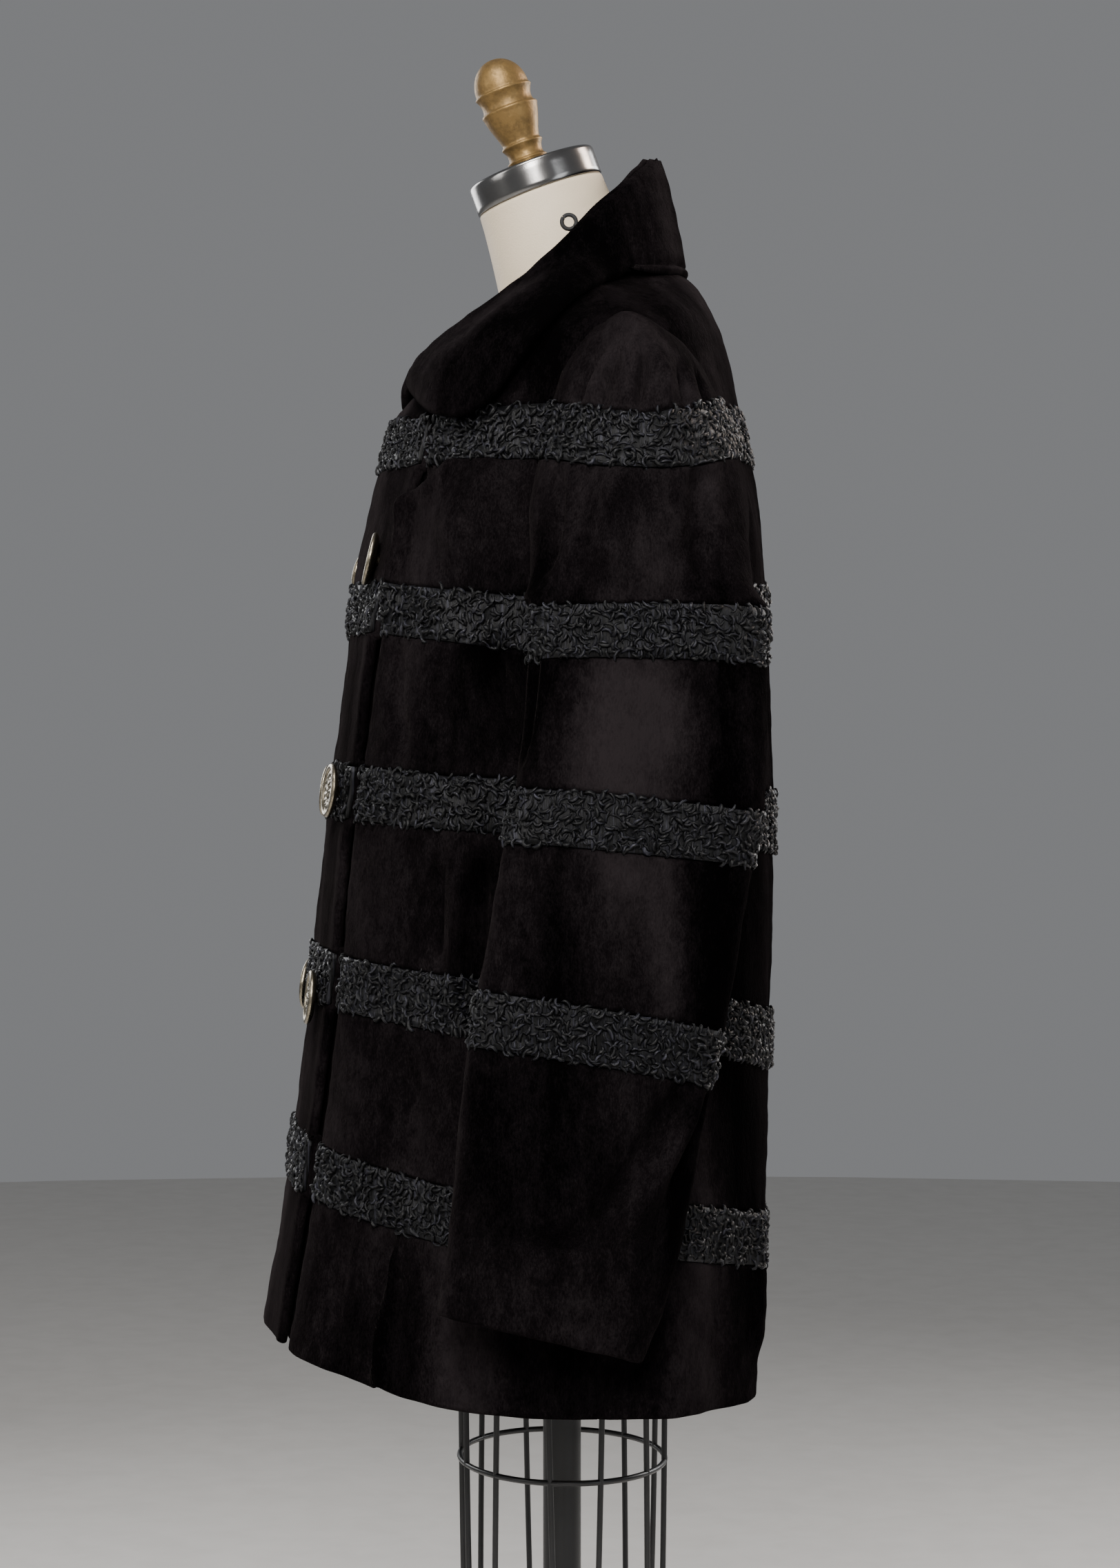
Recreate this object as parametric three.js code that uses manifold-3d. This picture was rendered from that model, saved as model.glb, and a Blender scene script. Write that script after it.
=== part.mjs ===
// Mink coat with let-in Persian lamb bands, worn by a limbless dress form on a pole.
// Millimetres, +Z up, the wearer faces -Y, the wearer's left is +X, the pole stands on X = Y = 0.
import * as THREE from 'three';
import { LatheGeometry } from 'three';
import { mergeVertices } from 'three/addons/utils/BufferGeometryUtils.js';
import Module from 'manifold-3d';

// ---------------------------------------------------------------- driving sizes
const WALL = 7;            // leather, pile and lining together
const RECESS = 4;          // depth of the bed a lamb band is let into
const SEAM = 0.3;          // gap between neighbours
const BAND_PROUD = 3;      // crown of a band above the mink
const EDGE_X = 110;        // free edge of a front, from the centre line
const LAP_SINK = 11;       // how far the under front lies below the upper one
const BUTTON_R = 19;
const BUTTON_X = 85;       // a button column, from the centre line
const POLE_R = 13.75;
const NECK_LEAN = THREE.MathUtils.degToRad(20);
const HOOP = { halfX: 108, halfY: 74, wire: 2.1 };
const CAGE = { top: 839.5, hoop: 553, foot: 430, wires: 12 };
const BASE_R = 200;
const BASE_H = 14;
const NECK_CAP_H = 21;
const NECK_CAP = [[0, 0], [47.4, 0], [47.4, 18.6], [45.6, 21], [0, 21]];
const LOOP_AT = { x: 90, y: -3, z: 1434 };

// Rings of the worn coat, hem to neckline: heights and depths at front, side and back.
const COAT_RINGS = [
  { name: 'hem',      zF: 657,  zS: 625,  zB: 619,  yF: -215, yS: 0,  yB: 131,   xS: 262, n: 2.5 },
  { name: 'band5',    zF: 779,  zS: 748,  zB: 722,  yF: -195, yS: 0,  yB: 140,   xS: 252, n: 2.5 },
  { name: 'band4',    zF: 907,  zS: 889,  zB: 858,  yF: -180, yS: 2,  yB: 144,   xS: 241, n: 2.5 },
  { name: 'band3',    zF: 1035, zS: 1024, zB: 1011, yF: -167, yS: 4,  yB: 148,   xS: 230, n: 2.5 },
  { name: 'band2',    zF: 1168, zS: 1146, zB: 1166, yF: -150, yS: 10, yB: 144,   xS: 218, n: 2.4 },
  { name: 'chest',    zF: 1222, zS: 1212, zB: 1226, yF: -138, yS: 16, yB: 141,   xS: 212, n: 2.3 },
  { name: 'band1low', zF: 1264, zS: 1260, zB: 1269, yF: -129, yS: 18, yB: 135,   xS: 202, n: 2.1 },
  { name: 'band1top', zF: 1300, zS: 1296, zB: 1305, yF: -119, yS: 20, yB: 129,   xS: 195, n: 1.9 },
  { name: 'yoke',     zF: 1306, zS: 1327, zB: 1340, yF: -114, yS: 20, yB: 123,   xS: 194, n: 1.8 },
  { name: 'shoulder', zF: 1311, zS: 1355, zB: 1370, yF: -110, yS: 20, yB: 114,   xS: 191, n: 1.75 },
  { name: 'yokeTop',  zF: 1316, zS: 1380, zB: 1396, yF: -105, yS: 13, yB: 100,   xS: 135, n: 1.85 },
  { name: 'neck',     zF: 1322, zS: 1400, zB: 1419, yF: -98,  yS: 8,  yB: 73,    xS: 79,  n: 2.1 },
];
const RING_KEYS = ['zF', 'zS', 'zB', 'yF', 'yS', 'yB', 'xS', 'n'];

// Rows of a body panel by ring number; "band" starts a lamb band that ends at the next row.
const BODY_ROWS = [
  { s: 0 }, { s: 0.45 }, { s: 0.865, band: 5 }, { s: 1.135 }, { s: 1.5 },
  { s: 1.865, band: 4 }, { s: 2.135 }, { s: 2.5 }, { s: 2.865, band: 3 }, { s: 3.135 },
  { s: 3.5 }, { s: 3.853, band: 2 }, { s: 4.26 }, { s: 4.42 }, { s: 5.1 },
  { s: 6, band: 1 }, { s: 7 }, { s: 8 }, { s: 8.75 }, { s: 9 }, { s: 10 }, { s: 11 },
];

// Armhole, underarm to shoulder point: degrees cut away from the side line.
const ARMHOLE = [
  { s: 4.26, front: 0,  back: 0 },
  { s: 4.42, front: 7,  back: 25 },
  { s: 5.1,  front: 17, back: 41 },
  { s: 6,    front: 19, back: 45 },
  { s: 7,    front: 19, back: 43 },
  { s: 8,    front: 16, back: 35 },
  { s: 8.75, front: 9,  back: 19 },
  { s: 9,    front: 0,  back: 0 },
];

// Sleeve cap rows, shoulder point down: half sweep of the row, its outermost reach and height.
const CAP_ROWS = [
  { s: 8.75, sweep: 66,  xOut: 220, zOut: 1354 },
  { s: 8,    sweep: 78,  xOut: 245, zOut: 1326 },
  { s: 7,    sweep: 90,  xOut: 263, zOut: 1284 },
  { s: 6,    sweep: 103, xOut: 273, zOut: 1247 },
  { s: 5.1,  sweep: 111, xOut: 281, zOut: 1210 },
  { s: 4.42, sweep: 143, xOut: 286, zOut: 1180 },
];

// Sleeve tube rings: height, front-back centre and half width, inner and outer reach, back drop.
const TUBE_ROWS = [
  { name: 'underarm', z: 1166,   y: 33,  half: 77, xIn: 216, xOut: 287, drop: 0 },
  { name: 'band2top', z: 1157,   y: 34,  half: 78, xIn: 227, xOut: 289, drop: 0, band: 2 },
  { name: 'band2low', z: 1122,   y: 34,  half: 78.5, xIn: 229.5, xOut: 292, drop: 0.02 },
  { name: 'upper',    z: 1075,   y: 31,  half: 80, xIn: 234, xOut: 297, drop: 0.06 },
  { name: 'band3top', z: 1031,   y: 26,  half: 81, xIn: 240, xOut: 302, drop: 0.1, band: 3 },
  { name: 'band3low', z: 996,    y: 19,  half: 81, xIn: 243.5, xOut: 305, drop: 0.1 },
  { name: 'elbow',    z: 944,    y: 10,  half: 81, xIn: 247, xOut: 309, drop: 0.13 },
  { name: 'band4top', z: 895,    y: 0,   half: 80, xIn: 251, xOut: 312, drop: 0.17, band: 4 },
  { name: 'band4low', z: 860,    y: -6,  half: 79, xIn: 254, xOut: 314, drop: 0.17 },
  { name: 'forearm',  z: 795,    y: -16, half: 76, xIn: 258, xOut: 317, drop: 0.2 },
  { name: 'cuffseam', z: 727,    y: -29, half: 71, xIn: 263, xOut: 320, drop: 0.22 },
  { name: 'cuff',     z: 688,    y: -40, half: 66.5, xIn: 266, xOut: 321, drop: 0.25 },
];
const SLEEVE_COLS = 14;

// Depth of the soft vertical folds at the hem, one value a panel column.
const FRONT_FOLDS = [0, 0, 0, 0, 0, 2, -7, 4, 0];
const BACK_FOLDS = [0, 4, -5, 4, -4, 3, -4, 4, -5, 4, 0];

// Collar stations from centre back (0) to the front end (1): neckline angle, fold angle, and
// the ring and angle of the coat that the outer edge lies over.
const COLLAR_STATIONS = [
  { neck: 180, fold: 0,   s: 10.8,  t: 180, lift: 7 },
  { neck: 162, fold: 20,  s: 10.8,  t: 160, lift: 7 },
  { neck: 144, fold: 38,  s: 10.75, t: 136, lift: 7 },
  { neck: 126, fold: 54,  s: 10.65, t: 113, lift: 7 },
  { neck: 108, fold: 70,  s: 10.3,  t: 94,  lift: 7 },
  { neck: 90,  fold: 86,  s: 9.7,   t: 79,  lift: 8 },
  { neck: 73,  fold: 102, s: 8.95,  t: 66,  lift: 9 },
  { neck: 56,  fold: 118, s: 8.1,   t: 59,  lift: 9.5 },
  { neck: 46,  fold: 130, s: 7.3,   t: 54,  lift: 8.5 },
  { neck: 37,  fold: 141, s: 6.85,  t: 47,  lift: 9.5 },
  { neck: 29,  fold: 149, s: 6.95,  t: 38,  lift: 9.5 },
  { neck: 21,  fold: 156, s: 7.4,   t: 29,  lift: 9 },
  { neck: 14,  fold: 161, s: 8.4,   t: 21,  lift: 8 },
];
const NECK_SEAM = 11.035;   // ring of the collar's seamed edge, a hair past the neckline
const FOLD_PLANE = { y: 64, z: 1488, slope: 0.86, cy: -20, ry: 84, rx: 98, dip: 10 };

// Buttons: ring number and the gap under the shank, top to bottom of a column.
const BUTTONS = [
  { row: 'top', s: 4.54, lift: -0.9 },
  { row: 'mid', s: 3.0,  lift: 2.1 },
  { row: 'low', s: 1.88, lift: 0.8 },
];

// Dress form rings below the armhole plate, bottom upward.
const FORM_RINGS = [
  { z: 842,  yF: -92,  yS: 5,  yB: 104, xS: 150, n: 2.2 },
  { z: 900,  yF: -110, yS: 5,  yB: 118, xS: 165, n: 2.2 },
  { z: 965,  yF: -102, yS: 6,  yB: 108, xS: 148, n: 2.2 },
  { z: 1030, yF: -86,  yS: 8,  yB: 92,  xS: 122, n: 2.1 },
  { z: 1110, yF: -94,  yS: 10, yB: 100, xS: 132, n: 2.1 },
  { z: 1180, yF: -110, yS: 12, yB: 112, xS: 150, n: 2.2 },
  { z: 1240, yF: -100, yS: 16, yB: 116, xS: 163, n: 2.2 },
];
const NECK_RINGS = [
  { along: -84, r: 58 }, { along: -62, r: 53.5 }, { along: -36, r: 50 },
  { along: -12, r: 47.5 }, { along: -1.5, r: 46.8 }, { along: 0, r: 45.5 },
];
const NECK_TOP = new THREE.Vector3(0, -15.75, 1467);

// Turned finial, radius and height above the neck cap.
const FINIAL = [
  [0, 0], [14, 0], [14.2, 3], [14.9, 5.5], [13.2, 7.5], [12.9, 11], [14, 14.5], [14.5, 16.3],
  [13.6, 18], [14.3, 21], [16.5, 28], [19.5, 37], [20.6, 41], [20.9, 43], [19.3, 45],
  [18.5, 49], [19.2, 53], [21.1, 57], [20.3, 59], [19.3, 65], [16.5, 72], [12, 77.5],
  [6, 81], [0, 82],
];

// ---------------------------------------------------------------- small helpers
const rad = THREE.MathUtils.degToRad;
const V = (x, y, z) => new THREE.Vector3(x, y, z);
const mirrorX = (p) => V(-p.x, p.y, p.z);
const mix = (a, b, f) => a + (b - a) * f;

/** Smooth curve through four equally spaced values. */
function catmull(a, b, c, d, f) {
  return 0.5 * (2 * b + (c - a) * f + (2 * a - 5 * b + 4 * c - d) * f * f
    + (3 * b - a - 3 * c + d) * f * f * f);
}

/** Ring values at a fractional ring number; past the neck they carry on straight. */
function ringAt(s) {
  const last = COAT_RINGS.length - 1;
  const i = Math.min(Math.max(Math.floor(s), 0), last - 1);
  const f = s - i;
  const at = (k) => COAT_RINGS[Math.min(Math.max(k, 0), last)];
  const ring = {};
  for (const key of RING_KEYS) {
    ring[key] = f > 1 || i >= 4
      ? mix(at(i)[key], at(i + 1)[key], f)
      : catmull(at(i - 1)[key], at(i)[key], at(i + 1)[key], at(i + 2)[key], f);
  }
  return ring;
}

/** Point of a ring at t degrees from the front centre towards the wearer's left. */
function ringPoint(ring, t) {
  const c = Math.cos(rad(t));
  const w = Math.sin(rad(t));
  const e = 2 / ring.n;
  const ahead = c >= 0;
  const reach = Math.pow(Math.abs(c), e);
  const lift = Math.pow(Math.abs(c), 1.6);
  return V(
    ring.xS * Math.sign(w) * Math.pow(Math.abs(w), e),
    mix(ring.yS, ahead ? ring.yF : ring.yB, reach),
    mix(ring.zS, ahead ? ring.zF : ring.zB, lift),
  );
}

const coatPoint = (s, t) => ringPoint(ringAt(s), t);

/** Outward direction of the coat at ring s, angle t. */
function coatNormal(s, t) {
  const du = coatPoint(s, t + 2).sub(coatPoint(s, t - 2));
  const dv = coatPoint(s + 0.06, t).sub(coatPoint(s - 0.06, t));
  return du.cross(dv).normalize();
}

/** Point of the coat moved out by d. */
function coatAt(s, t, d = 0) {
  return coatPoint(s, t).addScaledVector(coatNormal(s, t), d);
}

/** Angle at which a ring reaches the sideways distance x. */
function angleAtX(s, x) {
  const ring = ringAt(s);
  const f = Math.min(Math.abs(x) / ring.xS, 1);
  return Math.sign(x) * THREE.MathUtils.radToDeg(Math.asin(Math.pow(f, ring.n / 2)));
}

/** Sideways place of the free edge: straight, then slanting in under the collar. */
function edgeX(s) {
  if (s <= 6) return EDGE_X;
  return mix(EDGE_X, 42, (s - 6) / 5);
}

/** Armhole cut at ring s, for the front or the back edge. */
function armCut(s, side) {
  for (let i = 0; i < ARMHOLE.length - 1; i++) {
    const [a, b] = [ARMHOLE[i], ARMHOLE[i + 1]];
    if (s >= a.s && s <= b.s) return mix(a[side], b[side], (s - a.s) / (b.s - a.s));
  }
  return 0;
}

/** Gathers triangles, merging equal points and dropping slivers of no area. */
class Solid {
  constructor(turnAt = Infinity) {
    this.turnAt = turnAt;
    this.points = [];
    this.index = new Map();
    this.faces = [];
  }

  vertex(p) {
    const key = [p.x, p.y, p.z].map((q) => Math.round(q * 1e4)).join(' ');
    if (!this.index.has(key)) {
      this.index.set(key, this.points.length);
      this.points.push(p.clone());
    }
    return this.index.get(key);
  }

  triangle(a, b, c) {
    const ids = [this.vertex(a), this.vertex(b), this.vertex(c)];
    if (new Set(ids).size === 3) this.faces.push(ids);
  }

  quad(a, b, c, d) {
    this.triangle(a, b, c);
    this.triangle(a, c, d);
  }

  /** Strip between two rows, split alike either way up; past turnAt the split is mirrored. */
  strip(low, high, flip = false) {
    for (let j = 0; j < low.length - 1; j++) {
      const ring = [low[j], low[j + 1], high[j + 1], high[j]];
      if (flip) ring.splice(0, 4, low[j], high[j], high[j + 1], low[j + 1]);
      if (j >= this.turnAt) ring.push(ring.shift());
      this.quad(...ring);
    }
  }

  geometry(flip = false) {
    const g = new THREE.BufferGeometry();
    g.setAttribute('position', new THREE.Float32BufferAttribute(
      this.points.flatMap((p) => [p.x, p.y, p.z]), 3));
    g.setIndex(this.faces.flatMap(([a, b, c]) => (flip ? [a, c, b] : [a, b, c])));
    g.computeVertexNormals();
    return g;
  }
}

const same = (a, b) => a.distanceTo(b) < 1e-4;

/** Side wall of one row interval; x and y are the beds' corners on its ends, or null. */
function edgeWall(solid, corners, turn) {
  const [low, high, x, highIn, lowIn, y] = corners;
  if (low.z > high.z) {
    edgeWall(solid, [high, low, y, lowIn, highIn, x], !turn);
    return;
  }
  const tri = (a, b, c) => (turn ? solid.triangle(a, c, b) : solid.triangle(a, b, c));
  if (y) {
    tri(low, high, y);
    tri(high, x ?? highIn, y);
    if (x) tri(x, highIn, y);
    tri(highIn, lowIn, y);
    return;
  }
  tri(low, high, x ?? highIn);
  if (x) tri(low, x, highIn);
  tri(low, highIn, lowIn);
}

/** Cloth wall on a grid: rows of {P, N, I, band}; bands leave a bed RECESS deep. */
function clothWall(rows, flip, turnAt) {
  const solid = new Solid(turnAt);
  const out = (row, d) => row.P.map((p, j) => p.clone().addScaledVector(row.N[j], -d));
  const depth = (i) => (rows[i] && rows[i].band ? RECESS : 0);
  const last = rows.length - 1;
  for (let i = 0; i < last; i++) {
    const [a, b] = [rows[i], rows[i + 1]];
    const d = depth(i);
    const [low, high] = [out(a, d), out(b, d)];
    solid.strip(low, high);
    solid.strip(a.I, b.I, true);
    if (i > 0 && depth(i - 1) !== d) solid.strip(out(a, depth(i - 1)), low);
    const n = a.P.length - 1;
    if (!(same(a.P[0], a.P[n]) && same(b.P[0], b.P[n])) || same(a.P[0], a.P[1])) {
      const x = i < last - 1 && depth(i + 1) > d ? out(b, RECESS) : null;
      const y = i > 0 && depth(i - 1) > d ? out(a, RECESS) : null;
      edgeWall(solid, [low[0], high[0], x && x[0], b.I[0], a.I[0], y && y[0]], false);
      edgeWall(solid, [low[n], high[n], x && x[n], b.I[n], a.I[n], y && y[n]], true);
    }
  }
  solid.strip(rows[0].I, out(rows[0], depth(0)));
  solid.strip(out(rows[last], depth(last - 1)), rows[last].I);
  return solid.geometry(flip);
}

/** Lamb band let into the bed between two rows; "ends" trims an open band's ends. */
function lambBand(low, high, flip, turnAt) {
  const solid = new Solid(turnAt);
  const n = low.P.length - 1;
  const closed = same(low.P[0], low.P[n]);
  const span = low.P[1].distanceTo(high.P[1]);
  const f = SEAM / span;
  const row = (k, d) => low.P.map((p, j) => p.clone().lerp(high.P[j], k)
    .addScaledVector(low.N[j].clone().lerp(high.N[j], k), d));
  const floor = -(RECESS - SEAM);
  const [b0, b1] = [row(f, floor), row(1 - f, floor)];
  const [o0, om, o1] = [row(f, 0.6), row(0.5, BAND_PROUD), row(1 - f, 0.6)];
  solid.strip(o0, om);
  solid.strip(om, o1);
  solid.strip(b0, b1, true);
  solid.strip(o0, b0, true);
  solid.strip(b1, o1, true);
  if (!closed) {
    for (const [j, turn] of [[0, true], [n, false]]) {
      const ring = [b0[j], b1[j], o1[j], om[j], o0[j]];
      if (turn) ring.reverse();
      for (let k = 1; k < 4; k++) solid.triangle(ring[0], ring[k], ring[k + 1]);
    }
  }
  return solid.geometry(flip);
}

// ---------------------------------------------------------------- body panels
/** Column angles of a front at ring s, free edge first, side or armhole last. */
function frontAngles(s) {
  const lap = [-1, -0.5, 0, 0.5, 1].map((u) => angleAtX(s, u * edgeX(s)));
  const side = 90 - armCut(s, 'front') - seamAngle(s);
  const from = lap[4];
  return [...lap, ...[0.15, 0.42, 0.7, 1].map((f) => mix(from, side, f))];
}

/** Half a seam gap as an angle. */
function seamAngle(s) {
  const step = coatPoint(s, 90).distanceTo(coatPoint(s, 88)) / 2;
  return SEAM / 2 / step;
}

/** Fold height at a column, fading from the hem to the third band. */
function foldAt(folds, j, s) {
  return folds[j] * Math.max(0, 1 - s / 2.8);
}

/** Rows of a front panel; the under one sinks below the lap. */
function frontRows(under) {
  return BODY_ROWS.map(({ s, band }) => {
    const angles = frontAngles(s);
    const sink = (j) => (under && j <= 4 ? -LAP_SINK : 0);
    const at = (j, d) => coatAt(s, angles[j], sink(j) + foldAt(FRONT_FOLDS, j, s) + d);
    return {
      band,
      P: angles.map((t, j) => at(j, 0)),
      N: angles.map((t) => coatNormal(s, t)),
      I: angles.map((t, j) => at(j, -WALL)),
    };
  });
}

/** Rows of the back, the left edge first. */
function backRows() {
  return BODY_ROWS.map(({ s, band }) => {
    const cols = BACK_FOLDS.length - 1;
    const from = 90 + armCut(s, 'back') + seamAngle(s);
    const angles = BACK_FOLDS.map((_, j) => mix(from, 360 - from, j / cols));
    const at = (j, d) => coatAt(s, angles[j], foldAt(BACK_FOLDS, j, s) + d);
    return {
      band,
      P: angles.map((t, j) => at(j, 0)),
      N: angles.map((t) => coatNormal(s, t)),
      I: angles.map((t, j) => at(j, -WALL)),
    };
  });
}

// ---------------------------------------------------------------- sleeves
/** Armhole point for the sleeve, drawn in a hair so the seam stays open. */
function armPoint(s, side, d) {
  const mid = (ARMHOLE[0].s + ARMHOLE[7].s) / 2;
  const k = side === 'front' ? 0.993 : 0.98;
  const cut = armCut(s, side) * k;
  const t = side === 'front' ? 90 - cut : 90 + cut;
  const inward = s === ARMHOLE[0].s ? 0.994 : s === ARMHOLE[7].s ? 0.9995 : 0.9985;
  return coatAt(mid + (s - mid) * inward, t, d);
}

/** One row of the sleeve cap, from the front armhole edge round to the back one. */
function capRow({ s, sweep, xOut, zOut }) {
  const [a, b] = [armPoint(s, 'front', 0), armPoint(s, 'back', 0)];
  const turn = rad(sweep);
  const xEnd = (a.x + b.x) / 2;
  const halfX = (xOut - xEnd) / (1 - Math.cos(turn));
  const halfY = (b.y - a.y) / 2 / Math.sin(turn);
  const P = [];
  for (let j = 0; j <= SLEEVE_COLS; j++) {
    const u = (2 * j) / SLEEVE_COLS - 1;
    const phi = turn * u;
    const end = u < 0 ? a : b;
    const fix = Math.abs(u) ** 4;
    const crest = (1 + Math.cos(Math.PI * u)) / 2;
    P.push(V(
      xOut - halfX + halfX * Math.cos(phi) + (end.x - xEnd) * fix,
      (a.y + b.y) / 2 + halfY * Math.sin(phi),
      mix(end.z, zOut, crest),
    ));
  }
  return { s, P };
}

/** One closed ring of the sleeve tube, the inner seam first and last. */
function tubeRow({ z, y, half, xIn, xOut, drop, band }) {
  const P = [];
  for (let j = 0; j <= SLEEVE_COLS; j++) {
    const phi = Math.PI * ((2 * j) / SLEEVE_COLS - 1);
    const c = Math.cos(phi);
    const yy = half * Math.sin(phi);
    P.push(V(
      (xIn + xOut) / 2 + ((xOut - xIn) / 2) * Math.sign(c) * Math.pow(Math.abs(c), 0.8),
      y + yy,
      z - drop * yy - (1 - c) * 3,
    ));
  }
  P[SLEEVE_COLS] = P[0].clone();
  return { band, P };
}

/** Outward directions on a sleeve grid from its neighbours. */
function gridNormals(rows) {
  rows.forEach((row, i) => {
    const n = row.P.length - 1;
    const up = rows[Math.max(i - 1, 0)].P;
    const down = rows[Math.min(i + 1, rows.length - 1)].P;
    const ring = same(row.P[0], row.P[n]);
    row.N = row.P.map((p, j) => {
      const before = row.P[j > 0 ? j - 1 : (ring ? n - 1 : 0)];
      const after = row.P[j < n ? j + 1 : (ring ? 1 : n)];
      const along = after.clone().sub(before);
      return along.cross(up[j].clone().sub(down[j])).normalize();
    });
  });
}

/** Sleeve grid of the wearer's left, shoulder point down to the cuff. */
function sleeveRows() {
  const top = armPoint(ARMHOLE[7].s, 'front', 0);
  const tip = { P: Array.from({ length: SLEEVE_COLS + 1 }, () => top.clone()), s: 9 };
  const cap = CAP_ROWS.map(capRow);
  cap[2].band = 1;
  const tube = TUBE_ROWS.map(tubeRow);
  const under = armPoint(ARMHOLE[0].s, 'front', 0);
  const shift = under.clone().sub(tube[0].P[0]);
  tube[0].P.forEach((p, j) => {
    const near = Math.abs((2 * j) / SLEEVE_COLS - 1) ** 3;
    p.addScaledVector(shift, near);
  });
  const rows = [tip, ...cap, ...tube];
  gridNormals(rows);
  setInnerSkin(rows, cap, tube);
  return rows;
}

/** Hollow side of the sleeve; along the armhole it follows the body's own wall. */
function setInnerSkin(rows, cap, tube) {
  rows.forEach((row) => {
    row.I = row.P.map((p, j) => p.clone().addScaledVector(row.N[j], -WALL));
  });
  const tipIn = armPoint(9, 'front', -WALL);
  rows[0].I = rows[0].P.map(() => tipIn.clone());
  rows[0].N = rows[0].P.map(() => coatNormal(9, 90));
  for (const row of cap) {
    for (const [j, side] of [[0, 'front'], [SLEEVE_COLS, 'back']]) {
      row.I[j] = armPoint(row.s, side, -WALL);
      row.N[j] = row.P[j].clone().sub(row.I[j]).normalize();
    }
  }
  const underIn = armPoint(ARMHOLE[0].s, 'front', -WALL);
  for (const j of [0, SLEEVE_COLS]) {
    tube[0].I[j] = underIn.clone();
    tube[1].I[j] = tube[1].P[j].clone().add(V(2.5, 0, 13));
  }
  for (const j of [1, SLEEVE_COLS - 1]) {
    tube[0].I[j] = tube[0].P[j].clone().add(V(3, 0, 8));
    tube[1].I[j] = tube[1].P[j].clone().add(V(7, 0, 6));
  }
}

// ---------------------------------------------------------------- collar
/** Neck edge for the collar, straight between the panel's own columns. */
function neckEdge(t, d) {
  const stops = [...frontAngles(11).slice(2), 108, 126, 144, 162, 180];
  stops[6] = 90;
  const i = Math.min(stops.findIndex((stop) => stop > Math.abs(t) - 1e-6), stops.length - 1);
  const [a, b] = [stops[Math.max(i - 1, 0)], stops[i]];
  const f = b === a ? 0 : (Math.abs(t) - a) / (b - a);
  const p = coatAt(NECK_SEAM, a, d).lerp(coatAt(NECK_SEAM, b, d), f);
  return t < 0 ? mirrorX(p) : p;
}

/** Middle line of the collar's section at one station, neckline to outer edge. */
function collarPath({ neck, fold, s, t, lift }) {
  const base = neckEdge(neck, -WALL / 2);
  const inward = coatPoint(11.1, neck).sub(coatPoint(11, neck)).normalize();
  const psi = rad(fold);
  const { y, z, slope, cy, ry, rx, dip } = FOLD_PLANE;
  const top = V(rx * Math.sin(psi), cy + ry * Math.cos(psi), 0);
  top.z = z + (top.y - y) * slope - dip * Math.sin(psi) ** 2;
  const out = V(top.x, top.y - cy, 0).normalize();
  const leg = (o, h) => top.clone().addScaledVector(out, o).add(V(0, 0, h));
  const rise = base.clone().addScaledVector(inward, 5).add(V(0, 0, 8));
  const part = (f, d) => coatAt(mix(s, 10.8, f), mix(t, neck, f), d);
  return [base, rise, leg(-6, -5), top, leg(6.5, -4), part(0.5, lift + 6), coatAt(s, t, lift)];
}

/** Rows of the whole collar, the right end first. */
function collarRows() {
  const left = COLLAR_STATIONS.map(collarPath);
  const right = left.slice(1).reverse().map((path) => path.map(mirrorX));
  const paths = [...right, ...left];
  const turned = COLLAR_STATIONS.slice(1).reverse().map((k) => ({ neck: -k.neck }));
  const stations = [...turned, ...COLLAR_STATIONS];
  return paths.map((path, i) => {
    const before = paths[Math.max(i - 1, 0)];
    const after = paths[Math.min(i + 1, paths.length - 1)];
    const normals = path.map((p, k) => {
      const along = path[Math.min(k + 1, path.length - 1)].clone().sub(path[Math.max(k - 1, 0)]);
      return after[k].clone().sub(before[k]).cross(along).normalize();
    });
    const half = WALL / 2;
    const row = {
      P: path.map((p, k) => p.clone().addScaledVector(normals[k], half)),
      I: path.map((p, k) => p.clone().addScaledVector(normals[k], -half)),
      N: normals,
    };
    const { neck } = stations[i];
    row.P[0] = neckEdge(neck, -WALL);
    row.I[0] = neckEdge(neck, 0);
    return row;
  });
}

/** Small cord ring at the collar's fold, near the left side of the neck. */
function neckLoop() {
  const loop = new THREE.TorusGeometry(5, 1.6, 6, 14);
  loop.rotateY(rad(90));
  loop.translate(LOOP_AT.x, LOOP_AT.y, LOOP_AT.z);
  return mergeVertices(loop.deleteAttribute('normal').deleteAttribute('uv'), 1e-4);
}

// ---------------------------------------------------------------- buttons
/** Shank button: rim, sunk face with a plain boss, and a stem towards the cloth. */
function button({ s, lift }, sideways) {
  const t = angleAtX(s, sideways);
  const at = coatAt(s, t, lift);
  const g = new LatheGeometry([
    [0, 0], [4, 0], [4, 3], [14, 3.6], [18.2, 5], [BUTTON_R, 7], [18.2, 8.6], [16.6, 9],
    [15.2, 8.2], [9, 8.8], [0, 9.6],
  ].map(([r, h]) => new THREE.Vector2(r, h)), 20);
  const turn = new THREE.Quaternion().setFromUnitVectors(V(0, 1, 0), coatNormal(s, t));
  g.applyQuaternion(turn).translate(at.x, at.y, at.z);
  return weld(g);
}

/** Lathe seams merged so the solid is closed. */
function weld(g) {
  g.deleteAttribute('normal');
  g.deleteAttribute('uv');
  const merged = mergeVertices(g, 1e-4);
  const kept = [];
  const id = merged.index.array;
  for (let i = 0; i < id.length; i += 3) {
    const [a, b, c] = [id[i], id[i + 1], id[i + 2]];
    if (a !== b && b !== c && a !== c) kept.push(a, b, c);
  }
  merged.setIndex(kept);
  merged.computeVertexNormals();
  return merged;
}

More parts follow.
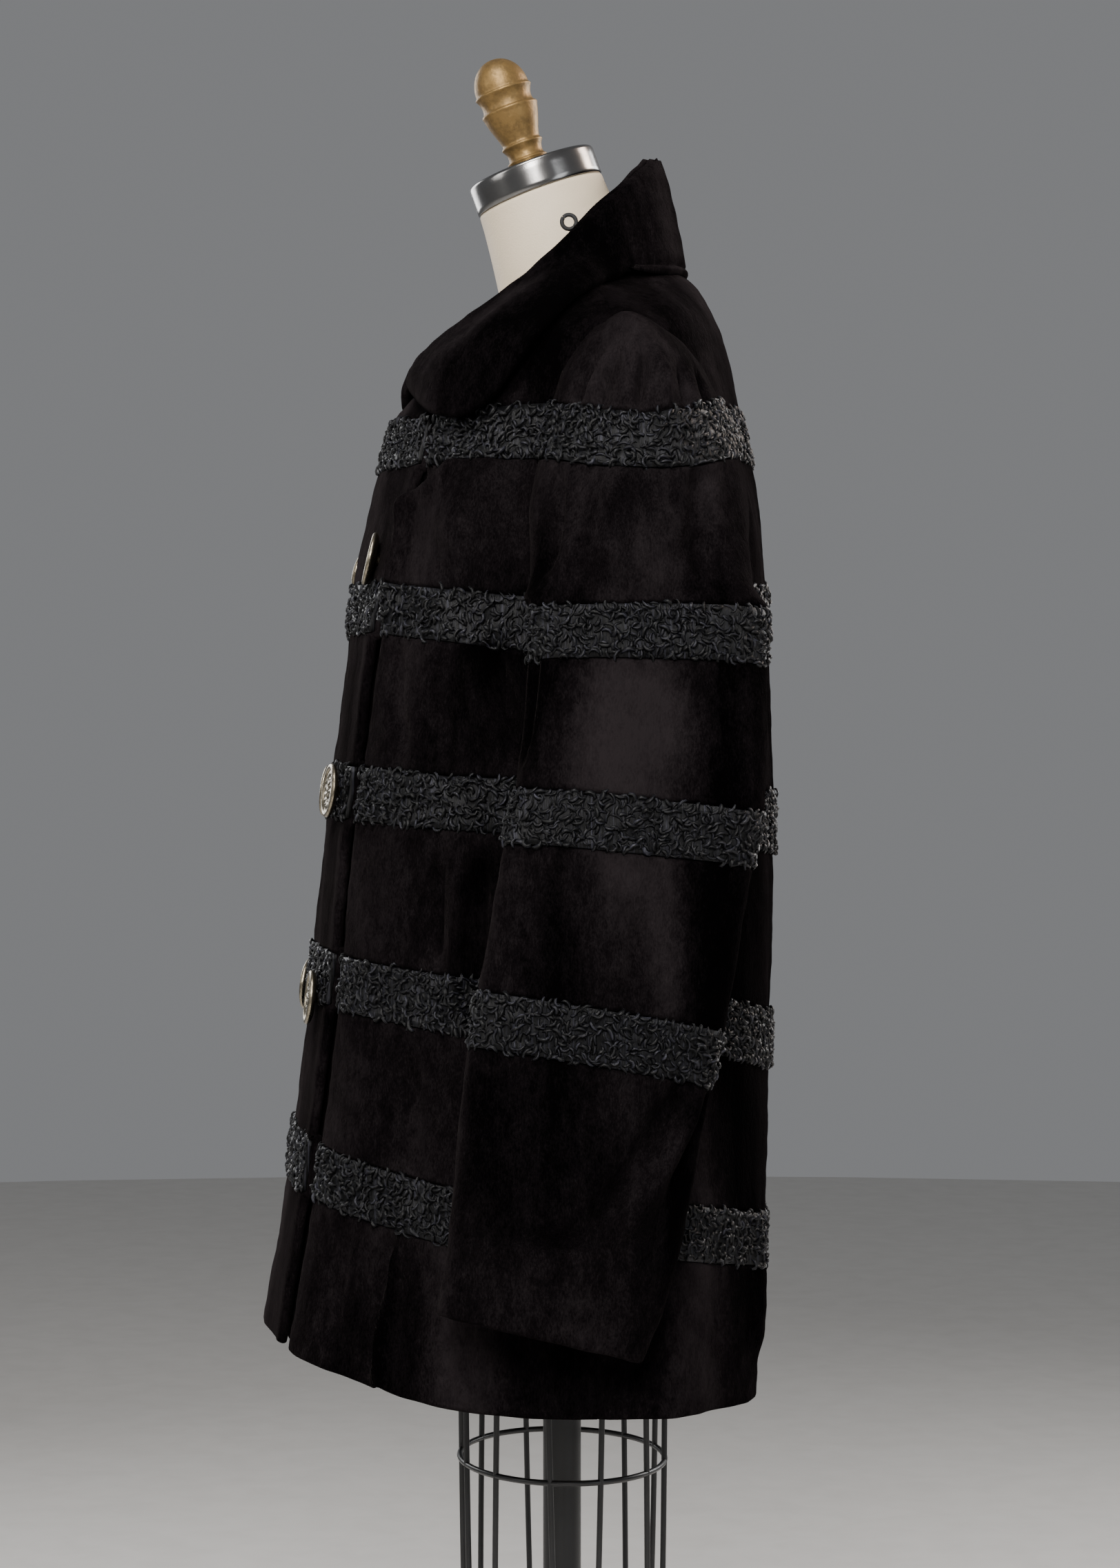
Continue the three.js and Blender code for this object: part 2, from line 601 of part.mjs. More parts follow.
// ---------------------------------------------------------------- dress form
/** Closed skin over stacked rings, capped flat at both ends. */
function ringStack(rings) {
  const solid = new Solid();
  const centre = (ring) => ring.reduce((a, p) => a.add(p), V(0, 0, 0))
    .divideScalar(ring.length);
  const loop = (ring) => [...ring, ring[0]];
  for (let i = 0; i < rings.length - 1; i++) solid.strip(loop(rings[i]), loop(rings[i + 1]));
  const [bottom, top] = [rings[0], rings[rings.length - 1]];
  const [cb, ct] = [centre(bottom), centre(top)];
  loop(bottom).slice(1).forEach((p, j) => solid.triangle(cb, p, bottom[j]));
  loop(top).slice(1).forEach((p, j) => solid.triangle(ct, top[j], p));
  return solid.geometry();
}

const NECK_AXIS = V(0, -Math.sin(NECK_LEAN), Math.cos(NECK_LEAN));

/** Ring across the leaning neck. */
function neckRing(along, r, count) {
  const across = V(0, Math.cos(NECK_LEAN), Math.sin(NECK_LEAN));
  const centre = NECK_TOP.clone().addScaledVector(NECK_AXIS, along);
  return Array.from({ length: count }, (_, j) => {
    const t = (2 * Math.PI * j) / count;
    return centre.clone().addScaledVector(across, -r * Math.cos(t)).add(V(r * Math.sin(t), 0, 0));
  });
}

/** Smooth limbless torso and neck; only the shoulder seams come close to the coat. */
function torso() {
  const count = 24;
  const angles = Array.from({ length: count }, (_, j) => (360 * j) / count);
  const low = FORM_RINGS.map((r) => angles.map((t) => ringPoint({ zF: r.z, zS: r.z, zB: r.z, ...r }, t)));
  const plate = [
    { s: 7.2, clear: 6 }, { s: 8, clear: 4 }, { s: 9, clear: 0.8 }, { s: 10, clear: 0.8 },
  ].map(({ s, clear }) => angles.map((t) => {
    const off = Math.abs(Math.abs(Math.cos(rad(t))));
    const lap = Math.cos(rad(t)) > 0.5 ? 12 : 0;
    return coatAt(s, t, -WALL - clear - 7 * Math.min(1, off * 2.5) - lap);
  }));
  const neck = NECK_RINGS.map(({ along, r }) => neckRing(along, r, count));
  return ringStack([...low, ...plate, ...neck]);
}

/** Solid turned about the leaning neck axis, its foot on the neck. */
function turnedOnNeck(profile, lift, segments) {
  const g = new LatheGeometry(profile.map(([r, h]) => new THREE.Vector2(r, h)), segments);
  g.rotateX(rad(90));
  const turn = new THREE.Quaternion().setFromUnitVectors(V(0, 0, 1), NECK_AXIS);
  const at = NECK_TOP.clone().addScaledVector(NECK_AXIS, lift);
  g.applyQuaternion(turn).translate(at.x, at.y, at.z);
  return weld(g);
}

/** Upright turned solid on the pole's axis. */
function turnedUpright(profile, segments) {
  const g = new LatheGeometry(profile.map(([r, h]) => new THREE.Vector2(r, h)), segments);
  return weld(g.rotateX(rad(90)));
}

/** Round wire along a curve. */
function wire(points, closed, r) {
  const shape = new THREE.Shape(Array.from({ length: 6 }, (_, k) => new THREE.Vector2(
    r * Math.cos((k * Math.PI) / 3), r * Math.sin((k * Math.PI) / 3))));
  const path = new THREE.CatmullRomCurve3(points, closed);
  return new THREE.ExtrudeGeometry(shape, {
    extrudePath: path, steps: closed ? 32 : 2, bevelEnabled: false,
  });
}

/** Oval of a hoop at height z. */
function hoop(z, scale) {
  return Array.from({ length: 36 }, (_, j) => {
    const t = (2 * Math.PI * j) / 36;
    return V(HOOP.halfX * scale * Math.cos(t), HOOP.halfY * scale * Math.sin(t), z);
  });
}

/** Wire cage under the torso: upright wires joined by three hoops. */
async function cage() {
  const wasm = await Module();
  wasm.setup();
  const solid = (g) => {
    g.deleteAttribute('normal');
    g.deleteAttribute('uv');
    const m = mergeVertices(g, 1e-4);
    return new wasm.Manifold(new wasm.Mesh({
      numProp: 3,
      vertProperties: new Float32Array(m.attributes.position.array),
      triVerts: new Uint32Array(m.index.array),
    }));
  };
  let all = null;
  const add = (g) => { all = all ? all.add(solid(g)) : solid(g); };
  for (const [z, k] of [[CAGE.top, 1.02], [CAGE.hoop, 1], [CAGE.foot, 0.98]]) {
    add(wire(hoop(z, k), true, HOOP.wire));
  }
  for (let j = 0; j < CAGE.wires; j++) {
    const t = rad((360 * (j + 0.5)) / CAGE.wires);
    const lean = rad(j % 2 ? 4 : -3);
    const at = (z, a, k) => V(HOOP.halfX * k * Math.cos(a), HOOP.halfY * k * Math.sin(a), z);
    add(wire([at(CAGE.foot, t + lean, 0.98), at(CAGE.hoop, t + lean / 3, 1),
      at(CAGE.top, t - lean, 1.02)], false, HOOP.wire));
  }
  const mesh = all.getMesh();
  const g = new THREE.BufferGeometry();
  g.setAttribute('position', new THREE.Float32BufferAttribute(mesh.vertProperties, 3));
  g.setIndex(Array.from(mesh.triVerts));
  g.computeVertexNormals();
  return g;
}

// ---------------------------------------------------------------- assembly
const root = new THREE.Group();
root.name = 'mink_coat_on_form';

const PAINT = {
  mink: { color: 0x2b2423, roughness: 0.9 },
  lamb: { color: 0x3a3a40, roughness: 0.8 },
  metal: { color: 0xa89a80, roughness: 0.4, metalness: 1 },
  chrome: { color: 0xb8b6b4, roughness: 0.25, metalness: 1 },
  gold: { color: 0xa58242, roughness: 0.45, metalness: 1 },
  jersey: { color: 0xe0d5c2, roughness: 0.9 },
  black: { color: 0x161616, roughness: 0.5 },
};

/** Adds one named solid. */
function put(name, geometry, paint) {
  const mesh = new THREE.Mesh(geometry, new THREE.MeshStandardMaterial({ ...PAINT[paint] }));
  mesh.name = name;
  root.add(mesh);
}

const mirrorRows = (rows) => rows.map((row) => ({
  band: row.band, P: row.P.map(mirrorX), N: row.N.map(mirrorX), I: row.I.map(mirrorX),
}));

/** A cloth piece and the lamb bands let into it. */
function clothPiece(name, rows, flip, turnAt) {
  put(name, clothWall(rows, flip, turnAt), 'mink');
  rows.forEach((row, i) => {
    if (!row.band) return;
    put(`${name}_band${row.band}`, lambBand(row, rows[i + 1], flip, turnAt), 'lamb');
  });
}

clothPiece('front_left', frontRows(true), false);
clothPiece('front_right', mirrorRows(frontRows(false)), true);
clothPiece('back', backRows(), false, (BACK_FOLDS.length - 1) / 2);
clothPiece('sleeve_left', sleeveRows(), true);
clothPiece('sleeve_right', mirrorRows(sleeveRows()), false);
put('collar', clothWall(collarRows(), true), 'mink');
put('neck_loop', neckLoop(), 'black');
for (const spot of BUTTONS) {
  put(`button_left_${spot.row}`, button(spot, BUTTON_X), 'metal');
  put(`button_right_${spot.row}`, button(spot, -BUTTON_X), 'metal');
}
put('form_torso', torso(), 'jersey');
put('form_neck_cap', turnedOnNeck(NECK_CAP, SEAM, 40), 'chrome');
put('form_finial', turnedOnNeck(FINIAL, SEAM + NECK_CAP_H + SEAM, 20), 'gold');
put('form_cage', await cage(), 'black');
put('form_pole', turnedUpright([[0, BASE_H + SEAM], [POLE_R, BASE_H + SEAM],
  [POLE_R, FORM_RINGS[0].z - SEAM], [0, FORM_RINGS[0].z - SEAM]], 32), 'black');
put('form_base', turnedUpright([[0, 0], [BASE_R, 0], [BASE_R, 7], [BASE_R - 4, 10],
  [60, BASE_H - 0.5], [40, BASE_H], [0, BASE_H]], 48), 'black');

export default root;
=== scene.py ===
"""Sheared mink coat with let-in curly lamb bands, worn by a limbless dress form."""

import logging
import math
from dataclasses import dataclass, field
from enum import Enum
from typing import Callable

import bpy
import numpy as np
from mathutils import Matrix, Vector


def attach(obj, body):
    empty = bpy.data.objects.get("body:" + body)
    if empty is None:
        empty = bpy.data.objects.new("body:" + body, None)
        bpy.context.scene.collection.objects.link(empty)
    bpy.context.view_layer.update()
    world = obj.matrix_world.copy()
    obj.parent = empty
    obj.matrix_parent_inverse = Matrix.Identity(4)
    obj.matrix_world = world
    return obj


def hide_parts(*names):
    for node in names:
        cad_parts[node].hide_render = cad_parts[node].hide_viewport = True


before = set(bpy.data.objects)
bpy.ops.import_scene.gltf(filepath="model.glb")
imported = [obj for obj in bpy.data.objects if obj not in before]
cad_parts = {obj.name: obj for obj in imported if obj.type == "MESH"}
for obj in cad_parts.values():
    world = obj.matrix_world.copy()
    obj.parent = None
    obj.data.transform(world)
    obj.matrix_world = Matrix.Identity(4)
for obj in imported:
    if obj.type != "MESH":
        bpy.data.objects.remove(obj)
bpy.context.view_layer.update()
LOG = logging.getLogger("coat")
MM = 0.001
Array = np.ndarray


class Side(Enum):
    """The wearer's side a piece is worn on."""

    LEFT = "left"
    RIGHT = "right"


class Slot(Enum):
    """Material slots."""

    MINK = "mink"
    LAMB = "lamb"
    CORD = "cord"
    BUTTON = "button_metal"
    SKIN = "form_skin"
    CHROME = "neck_chrome"
    GOLD = "finial_gold"
    BLACK = "black_steel"


# ---------------------------------------------------------------- numbers and curves
def smooth(x: Array) -> Array:
    """Smoothstep of x clamped to 0..1: 3x^2 - 2x^3.

    Args:
        x: values.

    Returns:
        The eased values.
    """
    x = np.clip(x, 0.0, 1.0)
    return x * x * (3 - 2 * x)


def catmull(a: Array, b: Array, c: Array, d: Array, f: Array) -> Array:
    """Catmull-Rom blend of four equally spaced values.

    Args:
        a: value before the span.
        b: value at its start.
        c: value at its end.
        d: value after it.
        f: place in the span, 0 to 1.

    Returns:
        The value at f.
    """
    return 0.5 * (
        2 * b + (c - a) * f + (2 * a - 5 * b + 4 * c - d) * f**2 + (3 * b - a - 3 * c + d) * f**3
    )


def along_rows(table: Array, v: Array) -> Array:
    """Reads a table of rows at fractional row numbers, smoothly.

    Args:
        table: rows first, any shape after.
        v: fractional row numbers, broadcast against table[0]'s first axis.

    Returns:
        The values at v.
    """
    last = len(table) - 1
    i = np.clip(np.floor(v).astype(int), 0, last - 1)
    f = v - i

    def row(k: Array) -> Array:
        """Table rows k, clamped."""
        return table[np.clip(k, 0, last)]

    while f.ndim < table.ndim:
        f = f[..., None]
    return catmull(row(i - 1), row(i), row(i + 1), row(i + 2), f)


def unit(a: Array) -> Array:
    """Vectors of length 1 along a.

    Args:
        a: vectors in the last axis.

    Returns:
        The unit vectors.
    """
    return a / np.maximum(np.linalg.norm(a, axis=-1, keepdims=True), 1e-9)


def grid_normals(p: Array) -> Array:
    """Normals of a point grid: cross product of the two difference directions.

    Args:
        p: points, rows by columns by 3.

    Returns:
        Unit normals of the same shape.
    """
    return unit(np.cross(np.gradient(p, axis=1), np.gradient(p, axis=0)))


# ---------------------------------------------------------------- meshes
def signed(verts: Array, tris: Array) -> float:
    """Six times the volume inside triangles, below 0 where they face inward.

    The sum of a . (b x c) over the triangles' corners a, b and c.

    Args:
        verts: points, n by 3.
        tris: faces, k by 3.

    Returns:
        The signed volume times six.
    """
    a, b, c = (verts[tris[:, k]] for k in range(3))
    return float(np.einsum("ij,ij->", a, np.cross(b, c)))


def linked(name: str, data: bpy.types.ID) -> bpy.types.Object:
    """An object of the data at the origin, linked into the scene.

    Args:
        name: object name.
        data: its mesh, light or camera.

    Returns:
        The object.
    """
    made = bpy.data.objects.new(name, data)
    bpy.context.scene.collection.objects.link(made)
    return made


def make_mesh(name: str, verts: Array, quads: Array, tris: Array | None = None,
              corner_uv: Array | None = None) -> bpy.types.Object:
    """Makes a smooth-shaded mesh object whose faces point outward.

    Args:
        name: object name.
        verts: points in millimetres, n by 3.
        quads: four-cornered faces.
        tris: three-cornered faces.
        corner_uv: one texture point a face corner, quads first.

    Returns:
        The object, at the origin.
    """
    quads = np.asarray(quads, np.int32).reshape(-1, 4)
    tris = np.asarray([] if tris is None else tris, np.int32).reshape(-1, 3)
    halves = np.concatenate([quads[:, [0, 1, 2]], quads[:, [0, 2, 3]], tris])
    inward = signed(verts, halves) < 0
    order4, order3 = ([3, 2, 1, 0], [2, 1, 0]) if inward else ([0, 1, 2, 3], [0, 1, 2])
    loops = np.concatenate([quads[:, order4].ravel(), tris[:, order3].ravel()])
    mesh = bpy.data.meshes.new(name)
    mesh.vertices.add(len(verts))
    mesh.vertices.foreach_set("co", (verts * MM).astype(np.float32).ravel())
    mesh.loops.add(len(loops))
    mesh.loops.foreach_set("vertex_index", loops)
    sizes = np.concatenate([np.full(len(quads), 4), np.full(len(tris), 3)]).astype(np.int32)
    mesh.polygons.add(len(sizes))
    mesh.polygons.foreach_set("loop_start", np.concatenate([[0], np.cumsum(sizes)[:-1]]))
    mesh.polygons.foreach_set("loop_total", sizes)
    mesh.polygons.foreach_set("use_smooth", np.ones(len(sizes), bool))
    if corner_uv is not None:
        split = len(quads) * 4
        head = corner_uv[:split].reshape(-1, 4, 2)[:, order4]
        tail = corner_uv[split:].reshape(-1, 3, 2)[:, order3]
        corner_uv = np.concatenate([head.reshape(-1, 2), tail.reshape(-1, 2)])
        layer = mesh.uv_layers.new(name="along")
        layer.data.foreach_set("uv", corner_uv.astype(np.float32).ravel())
    mesh.update(calc_edges=True)
    mesh.validate()
    return linked(name, mesh)


def grid_quads(ids: Array) -> Array:
    """Faces of a grid of vertex numbers.

    Args:
        ids: vertex numbers, rows by columns.

    Returns:
        Quads, k by 4, running along the columns first.
    """
    return np.stack([ids[:-1, :-1], ids[:-1, 1:], ids[1:, 1:], ids[1:, :-1]], -1).reshape(-1, 4)


def split_quads(quads: Array) -> tuple[Array, Array]:
    """Parts quads that have lost a corner from the whole ones.

    Args:
        quads: quads, some with a repeated vertex.

    Returns:
        Whole quads, and triangles.
    """
    near = quads == np.roll(quads, -1, axis=1)
    lost = near.sum(1)
    whole = quads[lost == 0]
    bent = quads[lost == 1]
    keep = ~near[lost == 1]
    return whole, bent[keep].reshape(-1, 3)


@dataclass
class Loop:
    """A border loop of a shell: grid places in order, how far its rounded rim reaches out."""

    i: Array
    j: Array
    inner_i: Array
    inner_j: Array
    reach: Array


def open_border(m: int, n: int, reach: tuple[float, float, float, float]) -> Loop:
    """Border loop of an open grid of m rows and n columns.

    Args:
        m: rows.
        n: columns.
        reach: rim reach of the first row, last column, last row and first column.

    Returns:
        The loop, in the direction of the grid's own faces.
    """
    i = np.concatenate([np.zeros(n), np.arange(1, m), np.full(n - 1, m - 1),
                        np.arange(m - 2, 0, -1)]).astype(int)
    j = np.concatenate([np.arange(n), np.full(m - 1, n - 1), np.arange(n - 2, -1, -1),
                        np.zeros(m - 2)]).astype(int)
    r = np.concatenate([np.full(n, reach[0]), np.full(m - 1, reach[1]),
                        np.full(n - 1, reach[2]), np.full(m - 2, reach[3])])
    return Loop(i, j, np.clip(i, 1, m - 2), np.clip(j, 1, n - 2), r)


RIM_STEPS = 6


def shell(name: str, p: Array, n: Array, wall: float, ids: Array,
          loops: list[Loop]) -> bpy.types.Object:
    """Closed cloth shell: outer grid, inner grid a wall below, rims rounded as half ellipses.

    Args:
        name: object name.
        p: outer points, rows by columns by 3.
        n: outward normals.
        wall: thickness in millimetres.
        ids: vertex numbers of the grid, equal where the grid closes on itself.
        loops: the border loops.

    Returns:
        The object.
    """
    _, first, compact = np.unique(ids.ravel(), return_index=True, return_inverse=True)
    ids = compact.reshape(ids.shape)
    outer = p.reshape(-1, 3)[first]
    inner = (p - n * wall).reshape(-1, 3)[first]
    count = len(first)
    verts = [outer, inner]
    quads = [grid_quads(ids), grid_quads(ids + count)[:, ::-1]]
    at = 2 * count
    for loop in loops:
        o, up = p[loop.i, loop.j], n[loop.i, loop.j]
        away = o - p[loop.inner_i, loop.inner_j]
        along = unit(np.roll(o, -1, 0) - np.roll(o, 1, 0))
        away -= along * np.sum(away * along, -1, keepdims=True)
        away = unit(away - up * np.sum(away * up, -1, keepdims=True))
        mid = o - up * wall / 2
        rings = [ids[loop.i, loop.j]]
        for k in range(1, RIM_STEPS):
            turn = math.pi * k / RIM_STEPS
            ring = mid + up * (wall / 2 * math.cos(turn)) \
                + away * (loop.reach * math.sin(turn))[:, None]
            verts.append(ring)
            rings.append(np.arange(at, at + len(ring)))
            at += len(ring)
        rings.append(ids[loop.i, loop.j] + count)
        for low, high in zip(rings[:-1], rings[1:]):
            quads.append(np.stack([np.roll(low, -1), low, high, np.roll(high, -1)], -1))
    whole, tris = split_quads(np.concatenate(quads))
    return make_mesh(name, np.concatenate(verts), whole, tris)


def turned(name: str, profile: list[tuple[float, float]], count: int,
           place: Callable[[Array], Array], relief: Callable | None = None) -> bpy.types.Object:
    """Solid turned about an axis, from one pole to the other.

    Args:
        name: object name.
        profile: radius and height, first and last on the axis.
        count: steps round.
        place: moves points from the turning frame (axis +Z) into the object's frame.
        relief: extra height for arrays of radius, angle and height.

    Returns:
        The object.
    """
    r, h = np.array(profile, float).T
    turn = np.arange(count) * 2 * math.pi / count
    rr, tt = np.meshgrid(r, turn, indexing="ij")
    hh = np.repeat(h[:, None], count, 1)
    if relief is not None:
        hh = hh + relief(rr, tt, hh)
    pts = np.stack([rr * np.cos(tt), rr * np.sin(tt), hh], -1)
    ids = np.arange(pts.shape[0] * count).reshape(-1, count)
    ids[0] = ids[0, 0]
    ids[-1] = ids[-1, 0]
    ids = np.concatenate([ids, ids[:, :1]], 1)
    used, compact = np.unique(ids.ravel(), return_inverse=True)
    whole, tris = split_quads(grid_quads(compact.reshape(ids.shape)))
    return make_mesh(name, place(pts.reshape(-1, 3)[used]), whole, tris)


def tube(points: Array, radius: float, sides: int, closed: bool) -> tuple[Array, Array]:
    """Round wire along a path: rings square to the path, with flat ends on an open one.

    Args:
        points: the path, in millimetres.
        radius: wire radius.
        sides: steps round.
        closed: whether the path meets itself.

    Returns:
        Points and quads.
    """
    if closed:
        along = unit(np.roll(points, -1, 0) - np.roll(points, 1, 0))
    else:
        along = unit(np.gradient(points, axis=0))
    upright = np.abs(along[:, 2:3]) > 0.8
    aid = np.where(upright, np.array([[0.3, 1.0, 0.0]]), np.array([[0.0, 0.0, 1.0]]))
    side = unit(np.cross(aid, along))
    up = np.cross(along, side)
    turn = np.arange(sides) * 2 * math.pi / sides
    ring = points[:, None] + radius * (np.cos(turn)[None, :, None] * side[:, None]
                                       + np.sin(turn)[None, :, None] * up[:, None])
    ids = np.arange(len(points) * sides).reshape(-1, sides)
    ids = np.concatenate([ids, ids[:, :1]], 1)
    if closed:
        ids = np.concatenate([ids, ids[:1]], 0)
        return ring.reshape(-1, 3), grid_quads(ids)
    verts = np.concatenate([ring.reshape(-1, 3), points[[0, -1]]])
    caps = []
    for row, centre in ((ids[0], len(verts) - 2), (ids[-1, ::-1], len(verts) - 1)):
        hub = np.full(sides, centre)
        caps.append(np.stack([hub, hub, row[:-1], row[1:]], -1))
    return verts, np.concatenate([grid_quads(ids)] + caps)


def joined(name: str, parts: list[tuple[Array, Array]]) -> bpy.types.Object:
    """One object from several closed bodies.

    Args:
        name: object name.
        parts: points and quads of each.

    Returns:
        The object.
    """
    verts, quads, at = [], [], 0
    for p, q in parts:
        verts.append(p)
        quads.append(q + at)
        at += len(p)
    whole, tris = split_quads(np.concatenate(quads))
    return make_mesh(name, np.concatenate(verts), whole, tris)


# ---------------------------------------------------------------- finishes
class Nodes:
    """A material's node tree, with short calls for the nodes used here."""

    def __init__(self, name: str, coords: str = "Object") -> None:
        """Starts a material that reads one kind of coordinates.

        Args:
            name: material name.
            coords: Object or UV.
        """
        self.material = bpy.data.materials.new(name)
        self.material.use_nodes = True
        self.tree = self.material.node_tree
        self.shader = self.tree.nodes["Principled BSDF"]
        source = self.tree.nodes.new("ShaderNodeTexCoord")
        self.coords = source.outputs[coords]

    def node(self, kind: str, **settings: object) -> bpy.types.Node:
        """Adds a node and sets its properties.

        Args:
            kind: node type.
            settings: property values.

        Returns:
            The node.
        """
        made = self.tree.nodes.new(kind)
        for key, value in settings.items():
            setattr(made, key, value)
        return made

    def link(self, out: bpy.types.NodeSocket, into: bpy.types.NodeSocket) -> None:
        """Joins two sockets."""
        self.tree.links.new(out, into)

    def stretch(self, scale: tuple[float, float, float]) -> bpy.types.NodeSocket:
        """Coordinates scaled along each axis.

        Args:
            scale: factors.

        Returns:
            The scaled coordinates.
        """
        made = self.node("ShaderNodeMapping")
        made.inputs["Scale"].default_value = scale
        self.link(self.coords, made.inputs["Vector"])
        return made.outputs["Vector"]

    def noise(self, scale: float, detail: float = 2.0, rough: float = 0.5,
              warp: float = 0.0, at: bpy.types.NodeSocket | None = None) -> bpy.types.NodeSocket:
        """Noise, 0 to 1.

        Args:
            scale: repeats a metre.
            detail: octaves.
            rough: weight of the finer octaves.
            warp: distortion.
            at: coordinates, or None for the material's own.

        Returns:
            The noise value.
        """
        made = self.node("ShaderNodeTexNoise")
        made.inputs["Scale"].default_value = scale
        made.inputs["Detail"].default_value = detail
        made.inputs["Roughness"].default_value = rough
        made.inputs["Distortion"].default_value = warp
        self.link(at or self.coords, made.inputs["Vector"])
        return made.outputs["Fac"]

    def ramp(self, value: bpy.types.NodeSocket,
             stops: list[tuple[float, tuple[float, float, float]]]) -> bpy.types.NodeSocket:
        """Colours by value.

        Args:
            value: what the ramp reads.
            stops: place and colour.

        Returns:
            The colour.
        """
        made = self.node("ShaderNodeValToRGB")
        band = made.color_ramp
        while len(band.elements) < len(stops):
            band.elements.new(0.5)
        for element, (place, colour) in zip(band.elements, stops):
            element.position = place
            element.color = (*colour, 1.0)
        self.link(value, made.inputs["Fac"])
        return made.outputs["Color"]

    def spread(self, value: bpy.types.NodeSocket, low: float, high: float,
               first: float = 0.0, last: float = 1.0) -> bpy.types.NodeSocket:
        """Maps a value from one range to another, clamped.

        Args:
            value: what is mapped.
            low: value that gives first.
            high: value that gives last.
            first: start of the new range.
            last: end of the new range.

        Returns:
            The mapped value.
        """
        made = self.node("ShaderNodeMapRange")
        for key, number in (("From Min", low), ("From Max", high), ("To Min", first),
                            ("To Max", last)):
            made.inputs[key].default_value = number
        self.link(value, made.inputs["Value"])
        return made.outputs["Result"]

    def sum(self, parts: list[tuple[bpy.types.NodeSocket, float]]) -> bpy.types.NodeSocket:
        """Weighted sum of values.

        Args:
            parts: value and weight.

        Returns:
            The sum.
        """
        total = None
        for value, weight in parts:
            made = self.node("ShaderNodeMath", operation="MULTIPLY_ADD")
            self.link(value, made.inputs[0])
            made.inputs[1].default_value = weight
            if total is None:
                made.inputs[2].default_value = 0.0
            else:
                self.link(total, made.inputs[2])
            total = made.outputs[0]
        return total

    def bump(self, height: bpy.types.NodeSocket, metres: float, strength: float) -> None:
        """Bumps the shader.

        Args:
            height: height value.
            metres: how deep a step of 1 is.
            strength: share of it used.
        """
        made = self.node("ShaderNodeBump")
        made.inputs["Distance"].default_value = metres
        made.inputs["Strength"].default_value = strength
        self.link(height, made.inputs["Height"])
        self.link(made.outputs["Normal"], self.shader.inputs["Normal"])

    def set(self, **values: object) -> None:
        """Sets the shader's own sockets; underscores stand for spaces."""
        for key, value in values.items():
            self.shader.inputs[key.replace("_", " ")].default_value = value


@dataclass(frozen=True)
class PileFinish:
    """Sheared mink: dense velvety nap, brushed unevenly, with light and shade painted into its
    colour.
    """

    # Ramp stops: painted shade, the nap's own near-black brown, painted light.
    painted_shade: tuple[float, float, float] = (0.0008, 0.00065, 0.00075)
    body: tuple[float, float, float] = (0.0038, 0.0030, 0.0034)
    painted_light: tuple[float, float, float] = (0.0150, 0.0123, 0.0132)

    def material(self) -> bpy.types.Material:
        """Builds the material: patches of nap leaning either way, clumps and fine hair ends in the
        bump; painted light and shade of the patches and pelts in the colour.

        Returns:
            The material.
        """
        n = Nodes("sheared_mink")
        patches = n.noise(13.0, detail=3.0, rough=0.55, warp=0.8, at=n.stretch((1.0, 1.0, 0.42)))
        clumps = n.noise(170.0, detail=2.0, rough=0.6, warp=0.4, at=n.stretch((1.0, 1.0, 0.55)))
        hair = n.noise(900.0, detail=3.0, rough=0.65, at=n.stretch((1.0, 1.0, 0.45)))
        # Long upright noise: painted sheen, pelts that look lighter or darker in vertical streaks.
        painted_pelt_sheen = n.noise(15.0, detail=1.0, rough=0.5, warp=0.6, at=n.stretch((1.0, 1.0, 0.07)))
        tone = n.sum([(patches, 0.36), (painted_pelt_sheen, 0.30), (clumps, 0.13), (hair, 0.21)])
        # The base colour paints lit and shaded patches of nap and streaks of pelt sheen, over the
        # real hair and clump texture.
        colour = n.ramp(tone, [(0.42, self.painted_shade), (0.50, self.body), (0.64, self.painted_light)])
        n.link(colour, n.shader.inputs["Base Color"])
        n.set(IOR=1.02, Roughness=0.9, Sheen_Weight=0.016, Sheen_Roughness=0.28,
              Sheen_Tint=(0.74, 0.62, 0.62, 1.0))
        nap = n.sum([(patches, 1.6), (clumps, 0.42), (hair, 0.34)])
        n.bump(nap, metres=0.0018, strength=1.0)
        return n.material


@dataclass(frozen=True)
class CurlFinish:
    """Curly lamb: charcoal locks of fine glossy strands, with painted highlights on the strands and
    painted shade in the gaps.
    """

    # Ramp stops: painted shade of the gaps between strands, the strands' own charcoal, a painted
    # highlight.
    root: tuple[float, float, float] = (0.0003, 0.0003, 0.0004)
    mid: tuple[float, float, float] = (0.0015, 0.0015, 0.0021)
    painted_highlight: tuple[float, float, float] = (0.0330, 0.0330, 0.0460)

    def material(self) -> bpy.types.Material:
        """Builds the material: strands run along each lock's own length, streaked in colour from
        painted shade to painted highlight, with tone varying at random from lock to lock.

        Returns:
            The material.
        """
        n = Nodes("curly_lamb", "UV")
        fine = n.noise(1.0, detail=3.0, rough=0.7, at=n.stretch((1.1, 6.5, 1.0)))
        broad = n.noise(1.0, detail=1.0, rough=0.5, at=n.stretch((0.4, 1.7, 1.0)))
        tone = n.sum([(fine, 0.55), (broad, 0.45)])
        # Fine streaks along the strands paint shade and highlight; the broad noise is real
        # lock-to-lock tone.
        colour = n.ramp(tone, [(0.43, self.root), (0.53, self.mid), (0.64, self.painted_highlight)])
        n.link(colour, n.shader.inputs["Base Color"])
        n.link(n.spread(fine, 0.3, 0.7, first=0.56, last=0.30), n.shader.inputs["Roughness"])
        n.set(Sheen_Weight=0.01, Sheen_Roughness=0.3, Sheen_Tint=(0.8, 0.85, 1.0, 1.0))
        n.shader.inputs["Specular IOR Level"].default_value = 0.28
        n.bump(fine, metres=0.0007, strength=1.0)
        return n.material


